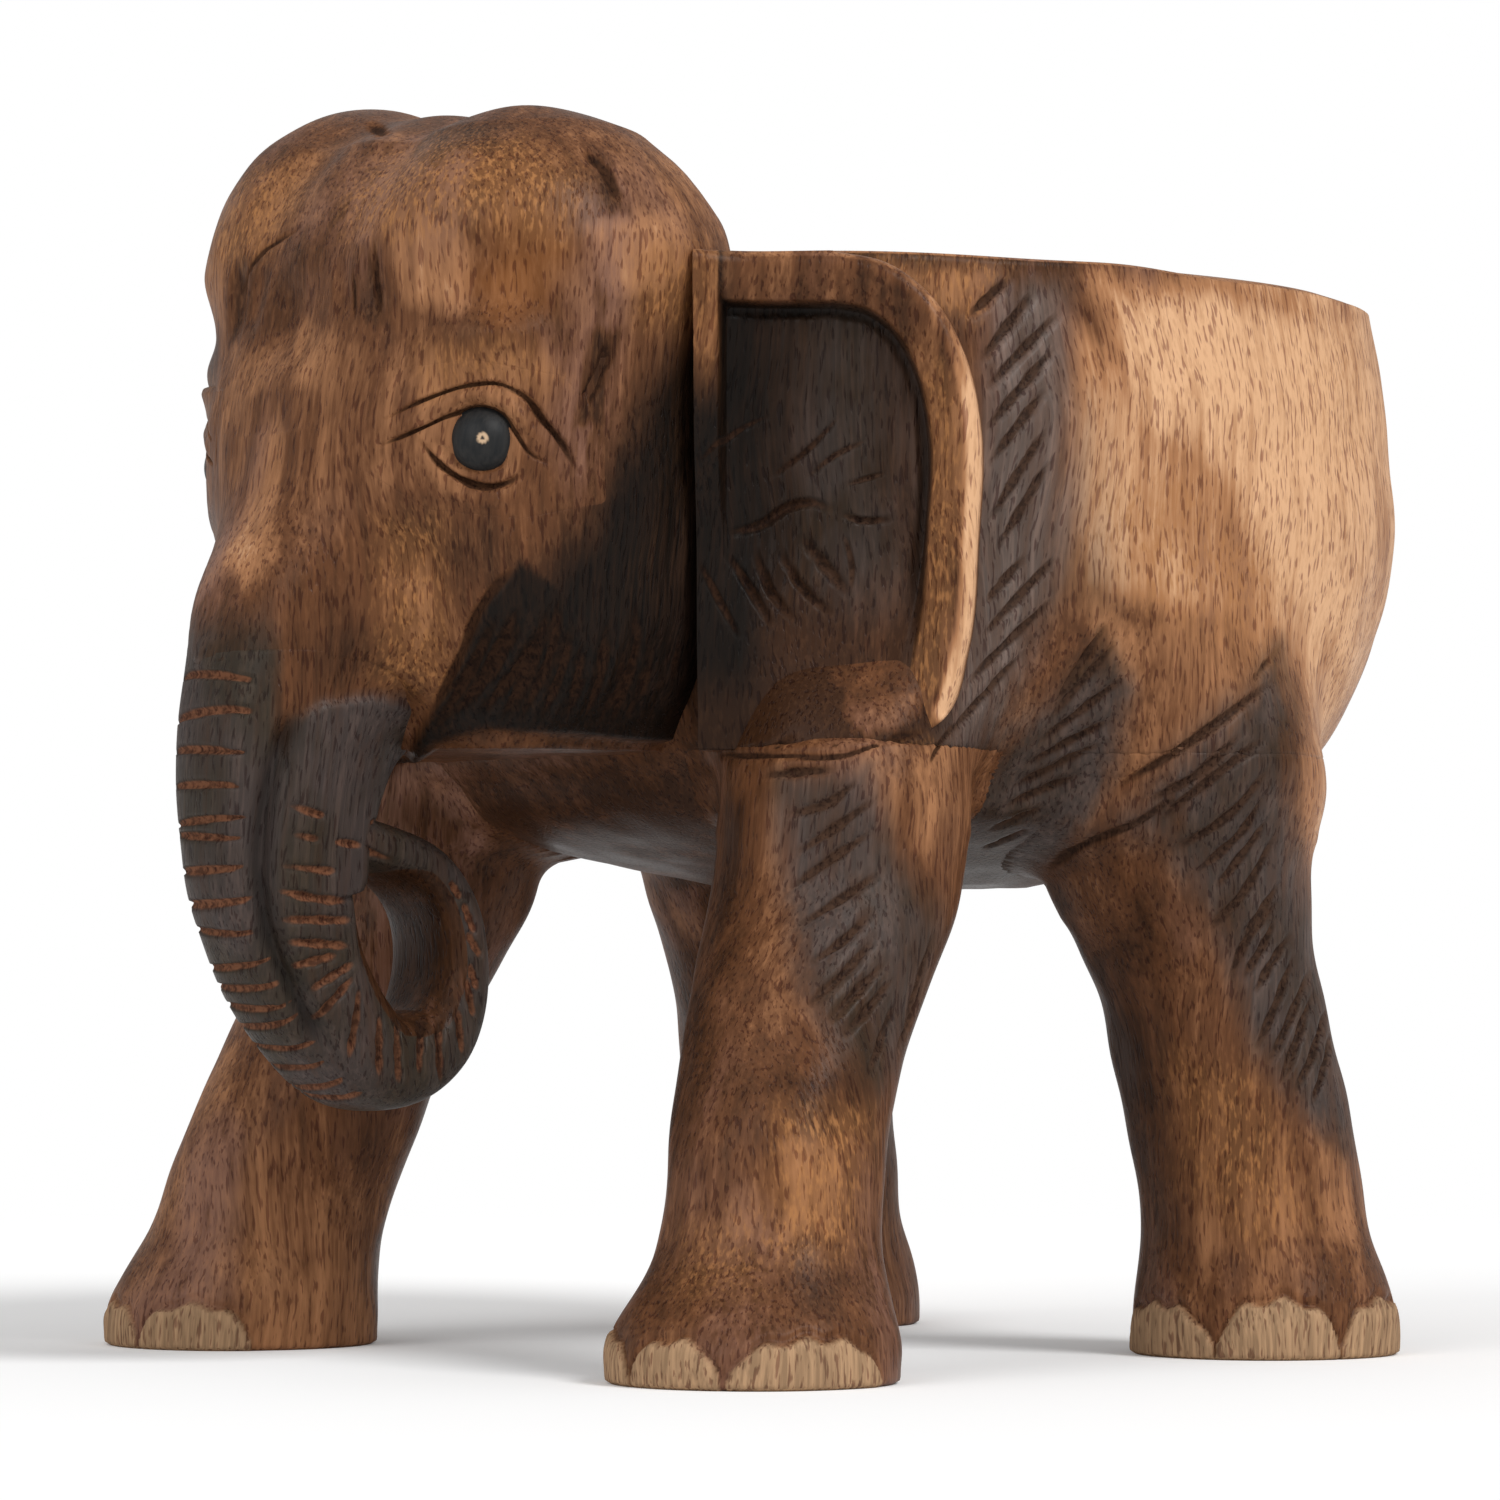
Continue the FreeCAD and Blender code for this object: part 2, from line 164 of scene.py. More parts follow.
def smooth_table(rows: Sequence[Sequence[float]], samples: int = 160) -> Array:
    """A dense table along a cubic curve through the rows.

    The first column is the way along. Between two rows each value follows the Hermite cubic
    whose slopes are the slopes across the neighbouring rows.
    """
    table = np.asarray(rows, float)
    way, values = table[:, 0], table[:, 1:]
    slopes = np.gradient(values, way, axis=0)
    dense = np.linspace(way[0], way[-1], samples)
    index = np.clip(np.searchsorted(way, dense, side="right") - 1, 0, len(way) - 2)
    span = (way[index + 1] - way[index])[:, None]
    t = (dense[:, None] - way[index][:, None]) / span
    low, high = values[index], values[index + 1]
    cubic = (
        (2 * t**3 - 3 * t**2 + 1) * low + (t**3 - 2 * t**2 + t) * span * slopes[index]
        + (3 * t**2 - 2 * t**3) * high + (t**3 - t**2) * span * slopes[index + 1]
    )
    return np.column_stack([dense, cubic])


def blend(first: Array, second: Array, width: float) -> Array:
    """Smooth minimum of two fields: the lesser one, less a quarter of the overlap squared."""
    overlap = np.clip(1.0 - np.abs(first - second) / width, 0.0, 1.0)
    return np.minimum(first, second) - overlap**2 * width / 4.0


def smooth_step(low: float, high: float, value: Array) -> Array:
    """Rises from 0 at low to 1 at high along a cubic, or falls where high is the lesser."""
    share = np.clip((value - low) / (high - low), 0.0, 1.0)
    return share * share * (3.0 - 2.0 * share)


@dataclass
class Column:
    """A form of level superellipse sections.

    rows hold height, middle x, middle y, half width, front reach and rear reach. The field is the
    level distance from the section's edge along the radius, divided by how steeply the edge
    leans, so that it is close to a true distance.
    """

    rows: Sequence[Sequence[float]]
    squareness: float
    low: float
    high: float
    table: Array = dataclass_field(init=False)
    lean: Array = dataclass_field(init=False)

    def __post_init__(self) -> None:
        """Prepares the dense table and the lean of the edge at each height."""
        self.table = smooth_table(self.rows)
        mean = self.table[:, 3:6].mean(axis=1)
        slope = np.gradient(mean, self.table[:, 0])
        self.lean = np.sqrt(1.0 + np.clip(np.abs(slope), 0.0, 3.0) ** 2)

    def at(self, z: Array) -> list[Array]:
        """Middle x, middle y, half width, front reach, rear reach and lean at the heights."""
        columns = [np.interp(z, self.table[:, 0], self.table[:, k]) for k in range(1, 6)]
        return columns + [np.interp(z, self.table[:, 0], self.lean)]

    def __call__(self, points: Array) -> Array:
        """Signed distance of the points, negative inside."""
        z = points[..., 2]
        x, y, side, front, rear, lean = self.at(z)
        across = points[..., 0] - x + 0.001
        ahead = y - points[..., 1]
        reach = np.where(ahead > 0.0, front, rear)
        power = self.squareness
        ratio = (np.abs(across / side) ** power + np.abs(ahead / reach) ** power) ** (1.0 / power)
        level = np.hypot(across, ahead)
        wall = level * (1.0 - 1.0 / np.maximum(ratio, 0.0001)) / lean
        return np.maximum(wall, np.maximum(z - self.high, self.low - z))


@dataclass(frozen=True)
class Egg:
    """An ellipsoid. Its field is the radius ratio less 1, divided by how fast that ratio grows."""

    centre: tuple[float, float, float]
    radii: tuple[float, float, float]

    def __call__(self, points: Array) -> Array:
        """Signed distance of the points, negative inside."""
        place = points - np.array(self.centre)
        radii = np.array(self.radii)
        ratio = np.linalg.norm(place / radii, axis=-1)
        slope = np.linalg.norm(place / radii**2, axis=-1)
        return ratio * (ratio - 1.0) / np.maximum(slope, 1e-6)


@dataclass(frozen=True)
class Sizes:
    """Sizes of the CAD model in millimetres, repeated here because its source isn't read.

    Squareness is the power of a section's superellipse, which is an ellipse at 2.
    """

    body_middle_y: float = 38.6
    seat_height: float = 268.0
    belly_height: float = 117.0
    body_half_width: float = 113.0
    body_front_reach: float = 122.0
    body_rear_reach: float = 128.0
    seat_rim_width: float = 13.0
    seat_dish_depth: float = 5.0
    seat_dish_slope: float = 14.0
    leg_seam: float = 148.0
    trunk_seam: float = 170.0
    shoulder_height: float = 206.0
    head_top: float = 292.0
    head_middle_reach: float = 135.0
    head_half_width: float = 72.0
    head_front_reach: float = 55.0
    head_rear_reach: float = 60.0
    dome_reach: float = 137.0
    dome_height: float = 267.0
    dome_side: float = 34.0
    dome_half_width: float = 38.0
    dome_half_length: float = 43.0
    curl_reach: float = 161.0
    curl_height: float = 95.0
    curl_radius: float = 31.0
    trunk_width: float = 34.0
    ear_root_side: float = 75.0
    ear_root_reach: float = 114.0
    ear_turn: float = math.radians(45.0)
    tail_radius: float = 7.0
    tail_top: float = 248.0
    tail_length: float = 110.0
    body_squareness: float = 2.5
    head_squareness: float = 2.3
    leg_squareness: float = 2.1
    leg_end: float = -20.0

    def y(self, reach: float) -> float:
        """Y of a place this far in front of the middle of the body."""
        return self.body_middle_y - reach


SIZES = Sizes()

BODY_ROWS = (
    (0.000, 0.30, 0.34, 0.26), (0.070, 0.68, 0.73, 0.64), (0.180, 0.84, 0.91, 0.79),
    (0.400, 0.965, 0.985, 0.935), (0.650, 1.00, 1.00, 1.00), (0.850, 0.985, 0.985, 0.990),
    (1.000, 0.955, 0.967, 0.960),
)
FRONT_LEFT_ROWS = (
    (0.000, 0.00, 1.00), (0.040, 0.00, 1.00), (0.145, 0.20, 0.78), (0.270, 0.31, 0.75),
    (0.400, 0.60, 0.79), (0.550, 1.03, 0.90), (0.720, 1.20, 0.90), (0.860, 1.53, 0.85),
    (1.000, 1.95, 0.72),
)
FRONT_RIGHT_ROWS = (
    (0.000, 0.00, 1.00), (0.040, 0.00, 1.00), (0.145, 0.15, 0.87), (0.270, 0.36, 0.86),
    (0.400, 0.64, 0.87), (0.550, 1.00, 0.90), (0.720, 1.20, 0.88), (0.860, 1.53, 0.83),
    (1.000, 1.95, 0.70),
)
REAR_ROWS = (
    (0.000, 0.00, 1.00), (0.040, 0.00, 1.00), (0.145, 0.10, 0.87), (0.300, 0.33, 0.86),
    (0.430, 0.62, 0.85), (0.570, 0.98, 0.98), (0.720, 1.12, 1.17), (0.860, 1.55, 1.04),
    (1.000, 2.10, 0.78),
)
HEAD_ROWS = (
    (0.000, 0.67, 0.60, 1.00), (0.110, 0.83, 0.73, 1.00), (0.320, 0.94, 0.91, 1.00),
    (0.520, 0.97, 1.00, 1.00), (0.680, 0.99, 0.93, 1.00), (0.880, 0.95, 0.78, 0.92),
    (1.000, 0.62, 0.48, 0.64),
)
TRUNK_ROWS = (
    (0.10, 3.40, 1.90, 1.88), (0.56, 2.62, 1.85, 1.62), (0.96, 1.75, 1.42, 1.24),
    (1.06, 0.90, 1.14, 1.07), (0.94, 0.36, 1.05, 1.04), (0.68, -0.16, 0.96, 1.02),
    (0.18, -0.66, 0.82, 1.00), (-0.40, -0.55, 0.64, 0.95), (-0.63, -0.06, 0.50, 0.92),
    (-0.56, 0.46, 0.42, 0.90), (-0.24, 0.84, 0.41, 0.92), (0.34, 1.00, 0.42, 0.98),
    (0.86, 1.04, 0.38, 1.00),
)
TAIL_ROWS = ((0.00, 0.75), (0.30, 1.00), (0.60, 0.80), (0.80, 0.95), (1.00, 0.50))


class Leg(Enum):
    """The four legs: side of the elephant, foot and top places, radius and table of rows."""

    FRONT_LEFT = ("front_left_leg", 1, (105.5, 127.0), (86.0, 88.0), 32.3, FRONT_LEFT_ROWS)
    FRONT_RIGHT = ("front_right_leg", -1, (105.5, 127.0), (86.0, 88.0), 34.0, FRONT_RIGHT_ROWS)
    REAR_LEFT = ("rear_left_leg", 1, (92.0, -46.5), (82.0, -27.0), 32.5, REAR_ROWS)
    REAR_RIGHT = ("rear_right_leg", -1, (92.0, -46.5), (82.0, -27.0), 32.5, REAR_ROWS)

    def column(self) -> Column:
        """The whole leg from the floor up into the body, as the CAD model has it."""
        _, side, foot, top, radius, shares = self.value
        rows = []
        for height, way, thickness in shares:
            out = foot[0] + (top[0] - foot[0]) * way
            reach = foot[1] + (top[1] - foot[1]) * way
            round_size = radius * thickness
            z = height * SIZES.shoulder_height
            rows.append((z, side * out, SIZES.y(reach), round_size, round_size, round_size))
        return Column(rows, SIZES.leg_squareness, SIZES.leg_end, SIZES.shoulder_height)


class TrunkPath:
    """The trunk as a superellipse section carried along a curve in the middle plane."""

    squareness = 2.6
    steps = 458

    def __init__(self) -> None:
        """Lays a smooth curve through the rows and measures its length."""
        rows = []
        for index, (forward, up, thickness, width) in enumerate(TRUNK_ROWS):
            y = SIZES.y(SIZES.curl_reach + SIZES.curl_radius * forward)
            z = SIZES.curl_height + SIZES.curl_radius * up
            half = SIZES.curl_radius * thickness / 2.0
            rows.append((index, y, z, half, SIZES.trunk_width * width / 2.0))
        table = smooth_table(rows, self.steps)
        self.y, self.z, self.half, self.side = table[:, 1], table[:, 2], table[:, 3], table[:, 4]
        steps = np.hypot(np.diff(self.y), np.diff(self.z))
        self.arc = np.concatenate([[0.0], np.cumsum(steps)])
        along_y = np.gradient(self.y, self.arc)
        along_z = np.gradient(self.z, self.arc)
        length = np.hypot(along_y, along_z)
        self.along = np.column_stack([along_y / length, along_z / length])
        # Along crossed with the side axis points out of the curl
        self.outward = np.column_stack([self.along[:, 1], -self.along[:, 0]])

    def __call__(self, points: Array, first: int = 0, last: int = steps) -> Array:
        """Signed distance from the section that stands nearest to each point.

        Args:
            points: places in millimetres.
            first: first step of the path that counts.
            last: step after the last that counts.

        Returns:
            Radial distance from the section's edge, with the section found by its middle.
        """
        flat = points.reshape(-1, 3)
        picks = np.arange(first, min(last, len(self.arc)), 5)
        gap = (flat[:, 1:2] - self.y[None, picks]) ** 2 + (flat[:, 2:3] - self.z[None, picks]) ** 2
        near_step = picks[gap.argmin(axis=1)]
        dy, dz = flat[:, 1] - self.y[near_step], flat[:, 2] - self.z[near_step]
        off = dy * self.along[near_step, 0] + dz * self.along[near_step, 1]
        arc = self.arc[near_step] + off
        inside = np.clip(arc, self.arc[first], self.arc[min(last, len(self.arc)) - 1])
        y, z, half, side, out_y, out_z = self.section(inside)
        out = (flat[:, 1] - y) * out_y + (flat[:, 2] - z) * out_z
        power = self.squareness
        across = np.abs(flat[:, 0]) + 0.001
        ratio = ((across / side) ** power + np.abs(out / half) ** power) ** (1.0 / power)
        wall = np.hypot(across, out) * (1.0 - 1.0 / np.maximum(ratio, 0.0001))
        beyond = np.abs(arc - inside)
        return np.maximum(wall, beyond - 0.5).reshape(points.shape[:-1])

    def section(self, arc: Array) -> list[Array]:
        """Middle y and z, half thickness, half width, outward y and z at the arc lengths."""
        tables = (self.y, self.z, self.half, self.side, self.outward[:, 0], self.outward[:, 1])
        return [np.interp(arc, self.arc, values) for values in tables]

    def nearest(self, points: Array) -> Array:
        """Arc length on the path nearest to each point."""
        across, above = points[:, 1:2] - self.y[None, :], points[:, 2:3] - self.z[None, :]
        return self.arc[(np.hypot(across, above) - self.half).argmin(axis=1)]


class Carving:
    """The whole carved form as fields, each negative inside the wood."""

    leg_blend = 16.0
    head_blend = 12.0
    lobe_blend = 9.0
    shoulder_blend = 5.0
    tail_blend = 4.0
    root_steps = 190
    nape = 61.4
    nape_step = 5.4

    def __init__(self) -> None:
        """Builds the columns, eggs and path that the fields are made of."""
        y = SIZES.body_middle_y
        rows = []
        for share, side, front, rear in BODY_ROWS:
            z = SIZES.belly_height + (SIZES.seat_height - SIZES.belly_height) * share
            rows.append((
                z, 0.0, y, SIZES.body_half_width * side,
                SIZES.body_front_reach * front, SIZES.body_rear_reach * rear,
            ))
        self.drum = Column(rows, SIZES.body_squareness, SIZES.belly_height, SIZES.seat_height)
        self.legs = {leg: leg.column() for leg in Leg}
        head_y = SIZES.y(SIZES.head_middle_reach)
        rows = []
        for share, side, front, rear in HEAD_ROWS:
            z = SIZES.leg_seam + (SIZES.head_top - SIZES.leg_seam) * share
            rows.append((
                z, 0.0, head_y, SIZES.head_half_width * side,
                SIZES.head_front_reach * front, SIZES.head_rear_reach * rear,
            ))
        self.skull = Column(rows, SIZES.head_squareness, SIZES.leg_seam, SIZES.head_top)
        dome_y, dome_z = SIZES.y(SIZES.dome_reach), SIZES.dome_height
        side, wide, deep = SIZES.dome_side, SIZES.dome_half_width, SIZES.dome_half_length
        self.lobes = (
            Egg((side, dome_y, dome_z), (wide, deep, 36.0)),
            Egg((-side, dome_y, dome_z), (wide, deep, 42.5)),
            Egg((0.0, dome_y, dome_z), (30.0, deep, 37.5)),
        )
        self.trunk = TrunkPath()

    def torso(self, points: Array) -> Array:
        """Drum and legs in one, with a fillet where they meet."""
        total = self.drum(points)
        for column in self.legs.values():
            total = blend(total, column(points), self.leg_blend)
        return total

    def body(self, points: Array) -> Array:
        """The body's own wood: everything above the seam, and the drum alone below it."""
        above = -blend(-self.torso(points), -self.shoulder_cut(points), self.shoulder_blend)
        total = np.where(points[..., 2] >= SIZES.leg_seam, above, self.drum(points))
        return blend(total, self.tail(points), self.tail_blend)

    def shoulder_cut(self, points: Array) -> Array:
        """Negative where wood may stand before the ear: 9 mm at the seam and none higher up."""
        side = np.abs(points[..., 0]) - SIZES.ear_root_side
        back = points[..., 1] - SIZES.y(SIZES.ear_root_reach)
        cos, sin = math.cos(SIZES.ear_turn), math.sin(SIZES.ear_turn)
        out, ahead = side * cos + back * sin, side * sin - back * cos
        high = smooth_step(150.0, 180.0, points[..., 2])
        return ahead - 9.0 + 19.0 * high - 40.0 * smooth_step(57.0, 66.0, out)

    def tail(self, points: Array) -> Array:
        """A round cord of wood down the middle of the rear wall, its radius read from TAIL_ROWS."""
        rows = np.array(TAIL_ROWS)
        z = points[..., 2]
        share = (SIZES.tail_top - z) / SIZES.tail_length
        radius = SIZES.tail_radius * np.interp(share, rows[:, 0], rows[:, 1])
        rear = SIZES.body_middle_y + self.drum.at(z)[4]
        gap = np.hypot(points[..., 0], points[..., 1] - rear) - radius
        end = SIZES.tail_top - SIZES.tail_length
        return np.maximum(gap, np.maximum(z - SIZES.tail_top, end - z))

    def crown(self, points: Array) -> Array:
        """Skull with its two lobes and the saddle between them."""
        total = self.skull(points)
        for lobe in self.lobes:
            total = blend(total, lobe(points), self.lobe_blend)
        return total

    def head(self, points: Array) -> Array:
        """Skull and lobes with the root of the trunk, cut square behind."""
        root = self.trunk(points, 0, self.root_steps)
        root = np.maximum(root, SIZES.trunk_seam - 1.5 - points[..., 2])
        total = blend(self.crown(points), root, self.head_blend)
        rear = self.nape - self.nape_step * smooth_step(267.5, 262.0, points[..., 2])
        return np.maximum(total, points[..., 1] + rear)

    def everything(self, points: Array) -> Array:
        """All wood apart from the ears."""
        nearer = np.minimum(self.torso(points), self.head(points))
        return np.minimum(nearer, self.trunk(points))


CARVING = Carving()


def quarter_round(radius: float, distance: Array) -> Array:
    """How far an edge rounded by the radius draws in, at a distance from the edge."""
    return radius * (1.0 - np.sqrt(1.0 - (1.0 - np.minimum(distance / radius, 1.0)) ** 2))


def padded(flat: Array) -> Array:
    """Flat places with a third coordinate of zero."""
    return np.hstack([flat, np.zeros((len(flat), 1))])


def full_circle(count: int) -> Array:
    """Angles evenly spaced once round, in radians."""
    return np.linspace(0.0, 2.0 * math.pi, count, endpoint=False)


def ring_rays(angle: Array) -> Array:
    """Level unit directions at the angles."""
    return np.stack([np.cos(angle), np.sin(angle), np.zeros_like(angle)], axis=-1)


def hand_ripple(points: Array, size: float) -> Array:
    """Slight unevenness of a hand-cut surface, in millimetres.

    It is a sum of plane sine waves with fixed directions and lengths.
    """
    count, shortest, longest = 12, 13.0, 42.0
    waves = np.random.default_rng(7)
    total = np.zeros(points.shape[:-1])
    for _ in range(count):
        direction = waves.normal(size=3)
        direction /= np.linalg.norm(direction)
        length, phase = waves.uniform(shortest, longest), waves.uniform(0.0, 2.0 * math.pi)
        total += np.sin(points @ direction * (2.0 * math.pi / length) + phase)
    return total * size / math.sqrt(count)


def leave(
    form: Field, start: Array, rays: Array, far: Array | float, steps: int = 26, halvings: int = 11
) -> Array:
    """How far each ray travels before it first leaves a form.

    Args:
        form: signed field, negative inside.
        start: where the rays start, inside the form.
        rays: unit directions.
        far: where a ray that never leaves is stopped.
        steps: samples before the halving starts.
        halvings: how often the interval is halved.

    Returns:
        Distances in millimetres, found by halving the first interval that crosses the surface.
    """
    far = np.broadcast_to(far, rays.shape[:-1]).astype(float)
    low = np.zeros(rays.shape[:-1])
    high = far.copy()
    found = np.zeros(rays.shape[:-1], bool)
    for step in range(1, steps + 1):
        travel = far * step / steps
        outside = form(start + rays * travel[..., None]) >= 0.0
        first = outside & ~found
        high = np.where(first, travel, high)
        low = np.where(first, far * (step - 1) / steps, low)
        found |= outside
    low = np.where(found, low, far)
    for _ in range(halvings):
        middle = (low + high) / 2.0
        outside = form(start + rays * middle[..., None]) >= 0.0
        high = np.where(outside, middle, high)
        low = np.where(outside, low, middle)
    return (low + high) / 2.0


# Strokes of the carver and of the stain brush

NARROW_WIDTH = 4.0


class Side(Enum):
    """Which side of the elephant a stroke is on."""

    LEFT = "left"
    BOTH = "both"


@dataclass(frozen=True)
class Stroke:
    """A cut or a swelling that follows a line in the photograph.

    Depth is how far the wood is cut away in millimetres, and a negative depth raises it. Width
    is the half width of the cut. The section is (1 - q squared) squared, with q the distance
    from the line over the half width, and the cut thins out over taper of its length at each end.
    A single pixel makes a round form.
    """

    pixels: tuple[tuple[float, float], ...]
    width: float
    depth: float
    taper: float = 0.25
    side: Side = Side.BOTH


@dataclass(frozen=True)
class Region:
    """An area of the photograph with a soft edge, in pixels, that is painted on both sides.

    Soft is how far its edge fades each way. Strength is its value inside.
    """

    corners: tuple[tuple[float, float], ...]
    soft: float
    strength: float = 1.0


def line_distance(points: Array, line: Array) -> tuple[Array, Array]:
    """Distance from points to a broken line, and how far along the line that is, from 0 to 1."""
    if len(line) == 1:
        return np.linalg.norm(points - line[0], axis=1), np.full(len(points), 0.5)
    lengths = np.linalg.norm(np.diff(line, axis=0), axis=1)
    total = max(lengths.sum(), 1e-6)
    best = np.full(len(points), 1e9)
    along = np.zeros(len(points))
    passed = 0.0
    for start, end, length in zip(line[:-1], line[1:], lengths):
        run = end - start
        share = np.clip((points - start) @ run / max(length**2, 1e-9), 0.0, 1.0)
        gap = np.linalg.norm(points - start - share[:, None] * run, axis=1)
        closer = gap < best
        best = np.where(closer, gap, best)
        along = np.where(closer, (passed + share * length) / total, along)
        passed += length
    return best, along


def refine_pixels(pixels: Pixels, spacing: float = 9.0) -> Array:
    """More places along a smooth curve through the pixels of a stroke."""
    table = np.asarray(pixels, float)
    if len(table) == 1:
        return table
    way = np.concatenate([[0.0], np.cumsum(np.linalg.norm(np.diff(table, axis=0), axis=1))])
    count = max(int(way[-1] / spacing), 2)
    return smooth_table(np.column_stack([way, table]), count + 1)[:, 1:]


def mirrored_lines(line: Array, side: Side) -> list[Array]:
    """The line, and its mirror image where the stroke is on both sides."""
    if side is Side.LEFT:
        return [line]
    return [line, line * MIRRORED]


def near(points: Array, line: Array, margin: float) -> Array:
    """Indices of the points in the line's box, widened by the margin."""
    low, high = line.min(axis=0) - margin, line.max(axis=0) + margin
    return np.flatnonzero(((points >= low) & (points <= high)).all(axis=1))


def cut_depth(points: Array, strokes: Sequence[Stroke], form: Field) -> tuple[Array, Array]:
    """Depth of all strokes at the points, and how much of each point is a gouge from 0 to 1.

    Where cuts cross, the deepest counts, and raised forms add up. A narrow cut's width wavers
    along its line, and its ends are more pointed than a wide form's.
    """
    depth, groove, raised = (np.zeros(len(points)) for _ in range(3))
    for stroke in strokes:
        line = CAMERA.cast(refine_pixels(stroke.pixels), form)
        if not len(line):
            continue
        for copy in mirrored_lines(line, stroke.side):
            chosen = near(points, copy, stroke.width)
            if not len(chosen):
                continue
            gap, along = line_distance(points[chosen], copy)
            start = float(stroke.pixels[0][0])
            wavers = stroke.width < NARROW_WIDTH
            uneven = 1.0 + (0.14 * np.sin(19.0 * along + start) if wavers else 0.0)
            q = np.clip(gap / (stroke.width * uneven), 0.0, 1.0)
            from_end = np.minimum(along, 1.0 - along)
            ends = np.clip(from_end / max(stroke.taper, 0.001), 0.0, 1.0)
            if len(copy) == 1 or stroke.taper <= 0.0:
                ends = 1.0
            else:
                wide = stroke.width > NARROW_WIDTH
                ends = smooth_step(0.0, 1.0, ends) if wide else ends ** 0.8
            section = (1.0 - q * q) ** 2 * ends
            if stroke.depth >= 0.0:
                depth[chosen] = np.maximum(depth[chosen], section * stroke.depth)
                groove[chosen] = np.maximum(groove[chosen], section)
            else:
                raised[chosen] += section * stroke.depth
    return depth + raised, groove


def region_gap(pixels: Array, corners: Pixels) -> Array:
    """Distance in pixels from a region's edge, positive inside, found by counting crossings."""
    ring = np.asarray(corners, float)
    gap = np.full(len(pixels), 1e9)
    inside = np.zeros(len(pixels), bool)
    for start, end in zip(ring, np.roll(ring, -1, axis=0)):
        run = end - start
        share = np.clip((pixels - start) @ run / max(run @ run, 1e-9), 0.0, 1.0)
        gap = np.minimum(gap, np.linalg.norm(pixels - start - share[:, None] * run, axis=1))
        spans = (start[1] > pixels[:, 1]) != (end[1] > pixels[:, 1])
        rise = run[1] if abs(run[1]) > 1e-9 else 1e-9
        inside ^= spans & (pixels[:, 0] < start[0] + run[0] * (pixels[:, 1] - start[1]) / rise)
    return np.where(inside, gap, -gap)


def paint(
    points: Array, normals: Array, regions: Sequence[Region], grazing: float = 0.05
) -> Array:
    """Greatest strength of the regions at each point, on the camera's side and on its mirror.

    Args:
        points: places in millimetres.
        normals: outward unit normals.
        regions: areas of the photograph.
        grazing: how far a surface may turn from the camera before the paint is gone.
    """
    flip = np.where(points[:, 0:1] < 0.0, MIRRORED[None], 1.0)
    left, turned = points * flip, normals * flip
    view = CAMERA.position - left
    view /= np.linalg.norm(view, axis=1, keepdims=True)
    facing = smooth_step(grazing - 0.25, grazing, (view * turned).sum(axis=1))
    pixels = CAMERA.project(left)
    mask = np.zeros(len(points))
    for region in regions:
        inside = smooth_step(-region.soft, region.soft, region_gap(pixels, region.corners))
        mask = np.maximum(mask, inside * region.strength)
    return mask * facing


# Meshes

@dataclass
class Grid:
    """A grid of points with rows by columns, and its colour marks."""

    points: Array
    wrap: bool = True
    marks: dict[str, Array] = dataclass_field(default_factory=dict)

    def flat(self) -> Array:
        """All points in one list."""
        return self.points.reshape(-1, 3)

    def pad_marks(self, before: int, after: int, **marks: Array) -> None:
        """Keeps marks that cover only some of the points, with zeros before and after them."""
        for key, values in marks.items():
            self.marks[key] = np.concatenate([np.zeros(before), values, np.zeros(after)])

    def normals(self, outward: Array) -> Array:
        """Unit normals from the grid's own slopes, turned to the side of outward."""
        down = np.gradient(self.points, axis=0)
        if self.wrap:
            across = np.roll(self.points, -1, axis=1) - np.roll(self.points, 1, axis=1)
        else:
            across = np.gradient(self.points, axis=1)
        normal = np.cross(across, down)
        length = np.linalg.norm(normal, axis=-1, keepdims=True)
        unit = normal / np.maximum(length, 1e-9)
        unit = np.where(length < 1e-7, outward, unit)
        flip = np.sign((unit * outward).sum(axis=-1, keepdims=True))
        return unit * np.where(flip == 0.0, 1.0, flip)

    def faces(self) -> Array:
        """Four corners of each cell. make_mesh turns them to face outwards."""
        rows, columns = self.points.shape[:2]
        index = np.arange(rows * columns).reshape(rows, columns)
        right = np.roll(index, -1, axis=1) if self.wrap else index[:, 1:]
        left = index if self.wrap else index[:, :-1]
        corners = np.stack([left[:-1], right[:-1], right[1:], left[1:]], axis=-1)
        return corners.reshape(-1, 4)


def weld(points: Array, faces: Array) -> tuple[Array, Array, Array]:
    """Joins points that share a place and drops the faces that vanish.

    Returns:
        The kept points, the faces with four corners each, of which two are the same in a
        triangle, and for each kept point its place in the old list.
    """
    keys = np.round(points, 3)
    _, first, back = np.unique(keys, axis=0, return_index=True, return_inverse=True)
    faces = back.reshape(-1)[faces]
    same = (faces == np.roll(faces, -1, axis=1)).sum(axis=1)
    return points[first], faces[same <= 1], first


